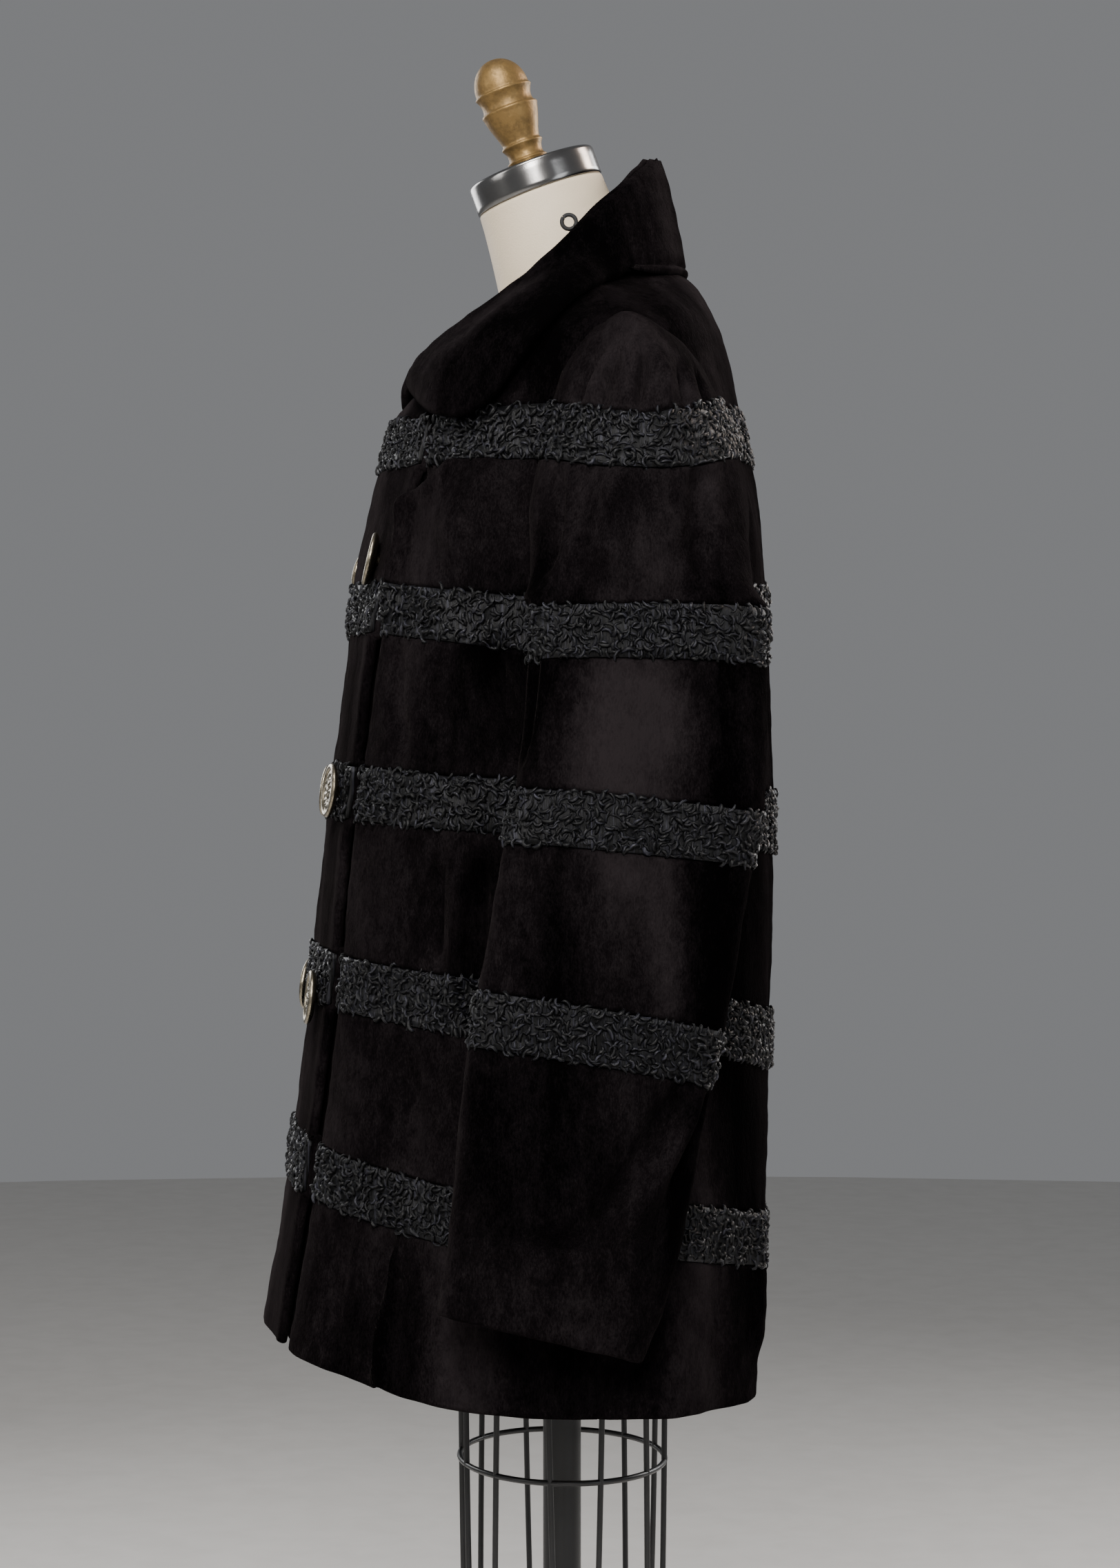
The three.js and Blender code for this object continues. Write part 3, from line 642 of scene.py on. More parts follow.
@dataclass(frozen=True)
class MetalFinish:
    """Bare or plated metal with pits, wear and brushing."""

    name: str
    colour: tuple[float, float, float]
    worn: tuple[float, float, float]
    rough: tuple[float, float]
    grain: float
    depth: float
    stretch: tuple[float, float, float] = (1.0, 1.0, 1.0)
    metallic: float = 1.0

    def material(self) -> bpy.types.Material:
        """Builds the material: tarnish by noise, roughness varying with it, shallow pits.

        Returns:
            The material.
        """
        n = Nodes(self.name)
        broad = n.noise(60.0, detail=4.0, rough=0.6, warp=0.5)
        grain = n.noise(self.grain, detail=3.0, rough=0.6, at=n.stretch(self.stretch))
        tone = n.sum([(broad, 0.6), (grain, 0.4)])
        colour = n.ramp(tone, [(0.35, self.worn), (0.55, self.colour)])
        n.link(colour, n.shader.inputs["Base Color"])
        n.link(n.spread(tone, 0.3, 0.7, first=self.rough[1], last=self.rough[0]),
               n.shader.inputs["Roughness"])
        n.set(Metallic=self.metallic)
        n.bump(grain, metres=self.depth, strength=0.6)
        return n.material


@dataclass(frozen=True)
class GrainFinish:
    """Fine-grained covering or satin paint."""

    name: str
    colour: tuple[float, float, float]
    shade: tuple[float, float, float]
    rough: float
    grain: float
    depth: float

    def material(self) -> bpy.types.Material:
        """Builds the material: pebbled grain over faint broad staining.

        Returns:
            The material.
        """
        n = Nodes(self.name)
        broad = n.noise(14.0, detail=4.0, rough=0.6, warp=0.4)
        pebble = n.noise(self.grain, detail=3.0, rough=0.6, warp=0.2)
        tone = n.sum([(broad, 0.75), (pebble, 0.25)])
        n.link(n.ramp(tone, [(0.34, self.shade), (0.6, self.colour)]),
               n.shader.inputs["Base Color"])
        vary = 0.06
        n.link(n.spread(pebble, 0.3, 0.7, first=self.rough - vary, last=self.rough + vary),
               n.shader.inputs["Roughness"])
        n.bump(pebble, metres=self.depth, strength=0.8)
        return n.material


@dataclass
class Wardrobe:
    """The finishes of the whole object, one material for each slot."""

    finishes: dict[Slot, bpy.types.Material] = field(default_factory=dict)

    def build(self) -> None:
        """Makes every material once."""
        self.finishes = {
            Slot.MINK: PileFinish().material(),
            Slot.LAMB: CurlFinish().material(),
            Slot.CORD: GrainFinish("black_cord", (0.012, 0.012, 0.013), (0.004, 0.004, 0.004),
                                   0.7, 1500.0, 0.0004).material(),
            Slot.BUTTON: MetalFinish("antique_silver", (0.30, 0.265, 0.20), (0.07, 0.06, 0.045),
                                     (0.20, 0.42), 420.0, 0.0002).material(),
            Slot.SKIN: GrainFinish("cream_skin", (0.70, 0.59, 0.44), (0.64, 0.53, 0.39),
                                   0.62, 760.0, 0.00035).material(),
            Slot.CHROME: MetalFinish("brushed_chrome", (0.26, 0.255, 0.25), (0.20, 0.195, 0.19),
                                     (0.16, 0.24), 260.0, 0.00003, (1.0, 1.0, 14.0)).material(),
            Slot.GOLD: MetalFinish("antique_gold", (0.23, 0.142, 0.050), (0.12, 0.075, 0.028),
                                   (0.40, 0.54), 330.0, 0.0004, metallic=0.7).material(),
            Slot.BLACK: GrainFinish("black_satin", (0.010, 0.010, 0.011), (0.005, 0.005, 0.005),
                                    0.38, 900.0, 0.00006).material(),
        }

    def dress(self, piece: bpy.types.Object, slot: Slot, *nodes: str) -> None:
        """Gives a piece the material of its slot, puts it on the root body and hides the solids
        that it stands for.

        Args:
            piece: the object.
            slot: material slot.
            nodes: solids it replaces.
        """
        piece.data.materials.append(self.finishes[slot])
        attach(piece, "root")
        if nodes:
            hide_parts(*nodes)
        LOG.info("%s: %d faces", piece.name, len(piece.data.polygons))


# ---------------------------------------------------------------- the coat's form
# Columns: height at front, side, back; depth at front, side, back; half width; squareness.
COAT_RINGS = np.array([
    [657, 625, 619, -215, 0, 131, 262, 2.5],
    [779, 748, 722, -195, 0, 140, 252, 2.5],
    [907, 889, 858, -180, 2, 144, 241, 2.5],
    [1035, 1024, 1011, -167, 4, 148, 230, 2.5],
    [1168, 1146, 1166, -150, 10, 144, 218, 2.4],
    [1222, 1212, 1226, -138, 16, 141, 212, 2.3],
    [1264, 1260, 1269, -129, 18, 135, 202, 2.1],
    [1300, 1296, 1305, -119, 20, 129, 195, 1.9],
    [1306, 1327, 1340, -114, 20, 123, 194, 1.8],
    [1311, 1355, 1370, -110, 20, 114, 191, 1.75],
    [1316, 1380, 1396, -105, 13, 100, 135, 1.85],
    [1322, 1400, 1419, -98, 8, 73, 79, 2.1],
], float)
BANDS = {5: (0.865, 1.135), 4: (1.865, 2.135), 3: (2.865, 3.135), 2: (3.853, 4.26), 1: (6.0, 7.0)}
# Armhole: ring number, degrees cut from the side line at the front and at the back.
ARMHOLE = np.array([
    [4.26, 0, 0], [4.42, 7, 25], [5.1, 17, 41], [6, 19, 45], [7, 19, 43], [8, 16, 35],
    [8.75, 9, 19], [9, 0, 0],
])


@dataclass
class Crease:
    """A soft trough (depth below 0) or ridge along a path of (across, up) points."""

    path: list[tuple[float, float]]
    depth: float
    width: float

    FADE = 0.25   # share of the path over which each end fades
    LEFT = 0.12   # share of the depth left at the very end

    def height(self, across: Array, up: Array) -> Array:
        """Depth times exp(-(distance / width)^2), fading towards both ends.

        Args:
            across: places across the cloth, in millimetres.
            up: heights in millimetres.

        Returns:
            How far the cloth moves out.
        """
        pts = np.array(self.path, float)
        seg = np.linalg.norm(np.diff(pts, axis=0), axis=1)
        start = np.concatenate([[0], np.cumsum(seg)])
        best = np.full(across.shape, np.inf)
        along = np.zeros(across.shape)
        for k, (a, b) in enumerate(zip(pts[:-1], pts[1:])):
            ab = b - a
            f = np.clip(((across - a[0]) * ab[0] + (up - a[1]) * ab[1]) / (ab @ ab), 0, 1)
            d = np.hypot(across - a[0] - f * ab[0], up - a[1] - f * ab[1])
            closer = d < best
            best = np.where(closer, d, best)
            along = np.where(closer, start[k] + f * seg[k], along)
        share = along / start[-1]
        fade = smooth(share / self.FADE) * smooth((1 - share) / self.FADE)
        return self.depth * np.exp(-(best / self.width) ** 2) * (self.LEFT + (1 - self.LEFT) * fade)


@dataclass
class CoatForm:
    """The worn body of the coat as stacked ovals from hem to neckline."""

    rings: Array = field(default_factory=lambda: COAT_RINGS)
    straight_from: int = 4
    ease_wide_from: float = 3.6
    ease: tuple[float, float] = (0.1, 0.34)
    rise: float = 1.6
    edge: float = 110.0
    edge_at_neck: float = 42.0
    slant_from: float = 6.0
    slant_rings: float = 5.0

    def raw_ring(self, s: Array) -> Array:
        """Ring values: smooth below the second band, straight between rings above it.

        Args:
            s: ring numbers.

        Returns:
            A row of ring values for each.
        """
        last = len(self.rings) - 1
        i = np.clip(np.floor(s).astype(int), 0, last - 1)
        f = (s - i)[..., None]
        a, b, c, d = (self.rings[np.clip(i + k, 0, last)] for k in (-1, 0, 1, 2))
        straight = ((i >= self.straight_from) | (s - i > 1))[..., None]
        return np.where(straight, b + (c - b) * f, catmull(a, b, c, d, f))

    def ring(self, s: Array) -> Array:
        """Ring values eased a little way up and down, further above the waist.

        Args:
            s: ring numbers.

        Returns:
            A row of ring values for each: (before + 2 * here + after) / 4.
        """
        s = np.asarray(s, float)
        low, high = self.ease
        width = np.where(s > self.ease_wide_from, high, low)
        return (self.raw_ring(s - width) + 2 * self.raw_ring(s) + self.raw_ring(s + width)) / 4

    def point(self, s: Array, t: Array) -> Array:
        """Point of ring s at t degrees from the front centre: a superellipse in plan.

        Args:
            s: ring number.
            t: degrees, growing towards the wearer's left.

        Returns:
            Points in millimetres.
        """
        r = self.ring(s)
        t = np.radians(t)
        c, w = np.cos(t), np.sin(t)
        power = 2 / r[..., 7]
        reach = np.abs(c) ** power
        lift = np.abs(c) ** self.rise
        ahead = c >= 0
        x = r[..., 6] * np.sign(w) * np.abs(w) ** power
        y = r[..., 4] + (np.where(ahead, r[..., 3], r[..., 5]) - r[..., 4]) * reach
        z = r[..., 1] + (np.where(ahead, r[..., 0], r[..., 2]) - r[..., 1]) * lift
        return np.stack([x, y, z], -1)

    def normal(self, s: Array, t: Array) -> Array:
        """Outward direction, from the differences along the ring and up the form.

        Args:
            s: ring number.
            t: degrees from the front centre.

        Returns:
            Unit normals.
        """
        step_t, step_s = 2, 0.06
        around = self.point(s, t + step_t) - self.point(s, t - step_t)
        up = self.point(s + step_s, t) - self.point(s - step_s, t)
        return unit(np.cross(around, up))

    def angle_at(self, s: Array, x: Array) -> Array:
        """Angle at which a ring reaches a sideways distance.

        Args:
            s: ring number.
            x: distance from the middle, in millimetres.

        Returns:
            Degrees from the front centre.
        """
        r = self.ring(s)
        f = np.minimum(np.abs(x) / r[..., 6], 1.0)
        return np.sign(x) * np.degrees(np.arcsin(f ** (r[..., 7] / 2)))

    def edge_at(self, s: Array) -> Array:
        """Sideways place of the free edge: straight, then slanting in under the collar."""
        slant = np.clip((s - self.slant_from) / self.slant_rings, 0, None)
        return self.edge + (self.edge_at_neck - self.edge) * slant

    def arm_cut(self, s: Array, column: int) -> Array:
        """Degrees the armhole takes from a front (column 1) or back (column 2) panel."""
        return np.interp(s, ARMHOLE[:, 0], ARMHOLE[:, column], left=0, right=0)


FORM = CoatForm()
WALL = 7.0            # leather, pile and lining together
BED = 4.0             # how deep the bands' beds are
HALF_SEAM = 0.05      # half a seam's gap, in degrees round the coat
HEM, NECKLINE = 0.02, 11.0    # ring numbers where the panels start and end
MIRROR = np.array([-1.0, 1.0, 1.0])


@dataclass
class ClothPiece:
    """A pelt panel as a smooth surface of two parameters, v up or down it and u across."""

    name: str
    step: float = 6.0
    columns: int = 80
    creases: list[Crease] = field(default_factory=list)
    mirror: bool = False
    plush: float = 0.42

    WAVES = (95.0, 70.0, 52.0, 38.0, 30.0, 24.0, 19.0, 15.0)
    SEED = 5
    PHASES = 6.28
    SAMPLES = 600                               # steps of the table of lengths
    PROBES = (0.02, 0.3, 0.6, 0.98)             # places across where steps are compared
    BORDER_ROWS = (-2.0, -0.5, 0.6, 1.8, 3.4)   # extra rows by a band's border, outwards
    EDGE_ROUND = (2.6, 3.4, 1.5)                # start, length and power of a bed's soft edge

    def base(self, v: Array, u: Array) -> tuple[Array, Array]:
        """Points and outward normals before creases; each kind of piece has its own."""
        raise NotImplementedError

    def across(self, v: Array, u: Array, p: Array) -> Array:
        """Place across the cloth in millimetres, for the creases."""
        raise NotImplementedError

    def bands(self) -> dict[int, tuple[float, float]]:
        """Row numbers between which each lamb band lies."""
        return {}

    def limits(self) -> tuple[float, float]:
        """First and last row number."""
        raise NotImplementedError

    def surface(self, v: Array, u: Array, out: Array | float = 0.0) -> Array:
        """Points with their creases: base + normal * (creases + out).

        Args:
            v: row numbers.
            u: places across, 0 to 1.
            out: further millimetres outward.

        Returns:
            Points in millimetres.
        """
        p, n = self.base(v, u)
        across = self.across(v, u, p)
        high = np.zeros(p.shape[:-1]) + out + self.uneven(p)
        for crease in self.creases:
            high = high + crease.height(across, p[..., 2])
        p = p + n * high[..., None]
        return p * MIRROR if self.mirror else p

    def uneven(self, p: Array) -> Array:
        """Plush unevenness: a sum of sines of place, amplitude * sin(k . p + phase).

        Args:
            p: points.

        Returns:
            Millimetres outward.
        """
        rng = np.random.default_rng(self.SEED)
        high = np.zeros(p.shape[:-1])
        for wave in self.WAVES:
            way = rng.normal(size=3)
            way *= 2 * np.pi / wave / np.linalg.norm(way)
            phase = rng.random() * self.PHASES
            high += self.plush * (wave / 60) ** 0.9 * np.sin(p @ way + phase)
        return high

    def lengths(self) -> tuple[Array, Array]:
        """Table of row number against length up the middle of the piece.

        Returns:
            Row numbers, and the length up to each.
        """
        v = np.linspace(*self.limits(), self.SAMPLES)
        p = self.base(v, np.full(v.shape, self.middle()))[0]
        return v, np.concatenate([[0], np.cumsum(np.linalg.norm(np.diff(p, axis=0), axis=1))])

    def middle(self) -> float:
        """Place across along which lengths are counted."""
        return 0.5

    def rows(self) -> Array:
        """Row numbers: even steps where the cloth is longest, and rows at the bands' borders.

        Returns:
            Row numbers in order.
        """
        v, length = self.lengths()
        spans = [np.linalg.norm(np.diff(self.base(v, np.full(v.shape, u))[0], axis=0), axis=1)
                 for u in self.PROBES]
        widest = np.concatenate([[0], np.cumsum(np.max(spans, 0))])
        even = np.linspace(0, widest[-1], int(widest[-1] / self.step) + 2)
        marks = [np.interp(np.interp(even, widest, v), v, length)]
        for low, high in self.bands().values():
            for at in (low, high):
                side = 1 if at == high else -1
                here = np.interp(at, v, length)
                marks.append(here + side * np.array(self.BORDER_ROWS))
        every = np.sort(np.concatenate(marks))
        keep = np.concatenate([[True], np.diff(every) > 0.25])
        return np.interp(every[keep], length, v)

    def bed(self, v: Array) -> Array:
        """Depth of the beds that the bands are let into, with rounded mink edges.

        Args:
            v: row numbers.

        Returns:
            Millimetres outward, 0 or less.
        """
        table_v, table_l = self.lengths()
        start, span, power = self.EDGE_ROUND
        here = np.interp(v, table_v, table_l)
        low = np.zeros(np.shape(v))
        for a, b in self.bands().values():
            la, lb = np.interp([a, b], table_v, table_l)
            inside = np.minimum(here - la, lb - here)
            low = np.minimum(low, -BED * smooth((inside + start) / span) ** power)
        return low

    def grid(self) -> tuple[Array, Array, Array]:
        """Fine grid of the piece.

        Returns:
            Row numbers, points and outward normals.
        """
        v = self.rows()
        u = np.linspace(0, 1, self.columns)
        vv, uu = np.meshgrid(v, u, indexing="ij")
        p = self.surface(vv, uu, self.bed(vv))
        n = self.outward(p, vv, uu)
        return v, p, n

    def outward(self, p: Array, v: Array, u: Array) -> Array:
        """Grid normals turned to the outer side.

        Args:
            p: the grid's points.
            v: row numbers.
            u: places across.

        Returns:
            Unit normals.
        """
        n = grid_normals(p)
        guide = self.base(v, u)[1]
        if self.mirror:
            guide = guide * MIRROR
        facing = np.sign(np.sum(n * guide, -1, keepdims=True))
        return n if np.mean(facing) > 0 else -n

    def build(self) -> bpy.types.Object:
        """Makes the shell of the panel.

        Returns:
            The object.
        """
        _, p, n = self.grid()
        m, k = p.shape[:2]
        ids = np.arange(m * k).reshape(m, k)
        return shell(self.name, p, n, WALL, ids, [open_border(m, k, self.rims())])

    def rims(self) -> tuple[float, float, float, float]:
        """Rim reach of the first row, last column, last row and first column."""
        return (0.5, 0.5, 0.5, 0.5)


@dataclass
class BodyPanel(ClothPiece):
    """A front or the back: rings from hem to neckline, soft folds at the hem."""

    fold_high: tuple[float, ...] = ()
    fold_top: float = 2.8

    def limits(self) -> tuple[float, float]:
        """Hem to neckline."""
        return (HEM, NECKLINE)

    def bands(self) -> dict[int, tuple[float, float]]:
        """The five bands of the body."""
        return BANDS

    def folds(self, v: Array, column: Array) -> Array:
        """Hem folds: cos^2 humps about whole columns, fading out up to ring fold_top.

        Args:
            v: ring numbers.
            column: place among the folds' columns.

        Returns:
            Millimetres outward.
        """
        high = np.zeros(column.shape)
        for k, value in enumerate(self.fold_high):
            near = np.abs(column - k)
            high += value * np.where(near < 1, np.cos(np.pi / 2 * np.minimum(near, 1)) ** 2, 0)
        return high * np.clip(1 - v / self.fold_top, 0, None)

    def lifted(self, v: Array, t: Array, high: Array) -> tuple[Array, Array]:
        """Points of the coat's form moved out.

        Args:
            v: ring numbers.
            t: degrees from the front centre.
            high: millimetres outward.

        Returns:
            Points and normals.
        """
        n = FORM.normal(v, t)
        return FORM.point(v, t) + n * high[..., None], n


@dataclass
class FrontPanel(BodyPanel):
    """A front, from its free edge past the centre to the side seam and armhole."""

    under: bool = False
    fold_at: tuple[float, ...] = (0.0, 0.15, 0.42, 0.7, 1.0)
    fold_high: tuple[float, ...] = (0.0, 2.0, -7.0, 4.0, 0.0)
    sink: float = 11.0
    sink_share: float = 0.09
    lap_share: float = 0.5
    lap: float = 220.0
    edge_in: float = 3.0
    ridge: float = 2.2
    ridge_width: float = 12.0

    FOREMOST = 220.0    # how far ahead the creases' places start to run round

    def middle(self) -> float:
        """Half-way along the lap."""
        return self.lap_share / 2

    def base(self, v: Array, u: Array) -> tuple[Array, Array]:
        """Lap by sideways distance, the rest by angle; the under layer sinks at the lap.

        Args:
            v: ring numbers.
            u: places across, 0 at the free edge.

        Returns:
            Points and normals.
        """
        share = self.lap_share
        edge = FORM.edge_at(v) - self.edge_in
        lap = FORM.angle_at(v, edge * (2 * np.minimum(u / share, 1) - 1))
        side = 90 - FORM.arm_cut(v, 1) - HALF_SEAM
        f = np.clip((u - share) / (1 - share), 0, 1)
        t = np.where(u <= share, lap, lap + (side - lap) * f)
        high = self.folds(v, np.interp(f, self.fold_at, np.arange(len(self.fold_at))))
        if self.under:
            high = high - self.sink * (1 - smooth(f / self.sink_share))
        else:
            from_edge = u / share * self.lap
            high = high + self.ridge * np.exp(-(from_edge / self.ridge_width) ** 2)
        return self.lifted(v, t, high)

    def across(self, v: Array, u: Array, p: Array) -> Array:
        """Sideways place plus, past the centre, how far round towards the side."""
        return p[..., 0] + (p[..., 1] + self.FOREMOST) * (p[..., 0] > 0)

    def rims(self) -> tuple[float, float, float, float]:
        """Round hem and free edge, close side seam and neck seam."""
        return (3.0, 1.3, 1.1, 3.2)


@dataclass
class BackPanel(BodyPanel):
    """The back, from the left side seam round to the right one."""

    columns: int = 104
    fold_high: tuple[float, ...] = (0, 4, -5, 4, -4, 3, -4, 4, -5, 4, 0)

    def base(self, v: Array, u: Array) -> tuple[Array, Array]:
        """Ring angles from one side, less its armhole, to the other.

        Args:
            v: ring numbers.
            u: places across, 0 at the left side seam.

        Returns:
            Points and normals.
        """
        start = 90 + FORM.arm_cut(v, 2) + HALF_SEAM
        t = start + (360 - 2 * start) * u
        return self.lifted(v, t, self.folds(v, u * (len(self.fold_high) - 1)))

    def across(self, v: Array, u: Array, p: Array) -> Array:
        """Sideways place."""
        return p[..., 0]

    def rims(self) -> tuple[float, float, float, float]:
        """Round hem, close seams."""
        return (3.0, 1.3, 1.1, 1.3)


# Sleeve cap: ring number, half sweep in degrees, outermost reach, its height.
CAP = np.array([
    [8.75, 66, 220, 1354], [8, 78, 245, 1326], [7, 90, 263, 1284], [6, 103, 273, 1247],
    [5.1, 111, 281, 1210], [4.42, 143, 286, 1180],
])
# Sleeve tube: height, depth of centre, half depth, inner reach, outer reach, slope.
TUBE = np.array([
    [1166, 33, 77, 216, 287, 0], [1157, 34, 78, 227, 289, 0], [1122, 34, 78.5, 229.5, 292, 0.02],
    [1075, 31, 80, 234, 297, 0.06], [1031, 26, 81, 240, 302, 0.1],
    [996, 19, 81, 243.5, 305, 0.1], [944, 10, 81, 247, 309, 0.13], [895, 0, 80, 251, 312, 0.17],
    [860, -6, 79, 254, 314, 0.17], [795, -16, 76, 258, 317, 0.2], [727, -29, 71, 263, 320, 0.22],
    [688, -40, 66.5, 266, 321, 0.25],
])


@dataclass
class Sleeve(ClothPiece):
    """A set-in sleeve, shoulder point down to the cuff, its seam along the inner arm."""

    columns: int = 92
    first_closed: int = 1 + len(CAP)
    round_at: float = 400.0

    ARM_IN = 0.993            # share of the armhole's cut that the cap fills
    SHOULDER, UNDERARM = 8.998, 4.262
    SQUARE = 0.8              # power of the tube's outline
    LIFT_IN = 3.0             # how far the inner arm line hangs below the outer one

    def limits(self) -> tuple[float, float]:
        """Shoulder point to cuff."""
        return (0.0, float(len(CAP) + len(TUBE)))

    def bands(self) -> dict[int, tuple[float, float]]:
        """The four bands of the sleeve, by row."""
        return {1: (3.0, 4.0), 2: (8.0, 9.0), 3: (11.0, 12.0), 4: (14.0, 15.0)}

    def arm_point(self, s: float, column: int) -> Array:
        """Armhole point of one edge of the cap.

        Args:
            s: ring number.
            column: 1 for the front edge, 2 for the back one.

        Returns:
            The point.
        """
        cut = FORM.arm_cut(np.array([s]), column) * self.ARM_IN
        t = 90 - cut if column == 1 else 90 + cut
        return FORM.point(np.array([s]), t)[0]

    def control(self, u: Array) -> Array:
        """Control rows at the places u across.

        Args:
            u: places across, 0 at the front armhole edge and 1 at the back one.

        Returns:
            Points, rows by u by 3.
        """
        w = 2 * u - 1
        rows = [np.repeat(self.arm_point(self.SHOULDER, 1)[None], len(u), 0)]
        crest = (1 + np.cos(np.pi * w)) / 2
        for s, sweep, x_out, z_out in CAP:
            a, b = self.arm_point(s, 1), self.arm_point(s, 2)
            turn = math.radians(sweep)
            x_end = (a[0] + b[0]) / 2
            half_x = (x_out - x_end) / (1 - math.cos(turn))
            half_y = (b[1] - a[1]) / 2 / math.sin(turn)
            phi = turn * w
            end = np.where((w < 0)[:, None], a, b)
            rows.append(np.stack([
                x_out - half_x + half_x * np.cos(phi) + (end[:, 0] - x_end) * w**4,
                (a[1] + b[1]) / 2 + half_y * np.sin(phi),
                end[:, 2] + (z_out - end[:, 2]) * crest,
            ], -1))
        under = self.arm_point(self.UNDERARM, 1)
        for k, (z, y, half, x_in, x_out, drop) in enumerate(TUBE):
            phi = np.pi * w
            c = np.cos(phi)
            deep = half * np.sin(phi)
            row = np.stack([
                (x_in + x_out) / 2 + (x_out - x_in) / 2 * np.sign(c) * np.abs(c) ** self.SQUARE,
                y + deep, z - drop * deep - (1 - c) * self.LIFT_IN], -1)
            if k == 0:
                row = row + (under - row[0]) * (np.abs(w) ** 3)[:, None]
            rows.append(row)
        return np.array(rows)

    def base(self, v: Array, u: Array) -> tuple[Array, Array]:
        """Smooth curve down the control rows at each place across.

        Args:
            v: row numbers.
            u: places across.

        Returns:
            Points and normals, the cross product of steps down and round.
        """
        flat_u, where = np.unique(np.asarray(u).ravel(), return_inverse=True)
        rows = self.control(flat_u)
        side, below = 0.004, 0.05
        after = self.control(np.clip(flat_u + side, 0, 1))
        before = self.control(np.clip(flat_u - side, 0, 1))

        def read(table: Array, at: Array) -> Array:
            """Table read smoothly at rows at, in each point's own column.

            Args:
                table: control rows.
                at: row numbers.

            Returns:
                The points.
            """
            last = len(table) - 1
            i = np.clip(np.floor(at).astype(int), 0, last - 1)
            f = (at - i)[..., None]
            col = where.reshape(at.shape)
            q = [table[np.clip(i + k, 0, last), col] for k in (-1, 0, 1, 2)]
            return catmull(*q, f)

        v = np.asarray(v, float)
        p = read(rows, v)
        round_it = read(after, v) - read(before, v)
        down = (read(rows, np.minimum(v + below, len(rows) - 1))
                - read(rows, np.maximum(v - below, 0)))
        return p, unit(np.cross(down, round_it))

    def across(self, v: Array, u: Array, p: Array) -> Array:
        """Millimetres round the sleeve from its outer line, the back positive."""
        return (u - 0.5) * self.round_at

    def build(self) -> bpy.types.Object:
        """Makes the shell: open along the armhole, closed round below it.

        Returns:
            The object.
        """
        v, p, n = self.grid()
        m, k = p.shape[:2]
        ids = np.arange(m * k).reshape(m, k)
        ids[0] = 0
        closed = int(np.argmax(v >= self.first_closed))
        p[closed:, -1] = p[closed:, 0]
        seam = unit(n[closed:, 0] + n[closed:, -1])
        n[closed:, 0] = seam
        n[closed:, -1] = seam
        n[0] = unit(n[1].mean(0))
        ids[closed:, -1] = ids[closed:, 0]
        down = np.arange(1, closed + 1)
        up = np.arange(closed - 1, 0, -1)
        i = np.concatenate([[0], down, up])
        j = np.concatenate([[0], np.full(len(down), k - 1), np.zeros(len(up), int)])
        arm = Loop(i, j, np.where(i == 0, 1, i), np.where(j == 0, 1, k - 2),
                   np.full(len(i), 0.4))
        arm.inner_j[0] = k // 2
        j = np.arange(k - 1, 0, -1)
        last = np.full(k - 1, m - 1)
        cuff = Loop(last, j, last - 1, j, np.full(k - 1, 3.0))
        return shell(self.name, p, n, WALL, ids, [arm, cuff])


# Collar: neckline angle, fold angle, ring and angle the outer edge lies over, lift.
COLLAR = np.array([
    [180, 0, 10.7, 180, 2.5], [162, 20, 10.72, 160, 2.5], [144, 38, 10.7, 136, 3],
    [126, 54, 10.6, 113, 3.5], [108, 70, 10.3, 94, 5], [90, 86, 9.7, 79, 7],
    [73, 102, 8.95, 66, 9], [56, 118, 8.1, 59, 9.5], [46, 130, 7.3, 54, 8.5],
    [37, 141, 6.85, 47, 9.5], [29, 149, 6.95, 38, 9.5], [21, 156, 7.4, 29, 9],
    [14, 161, 8.4, 21, 8],
])


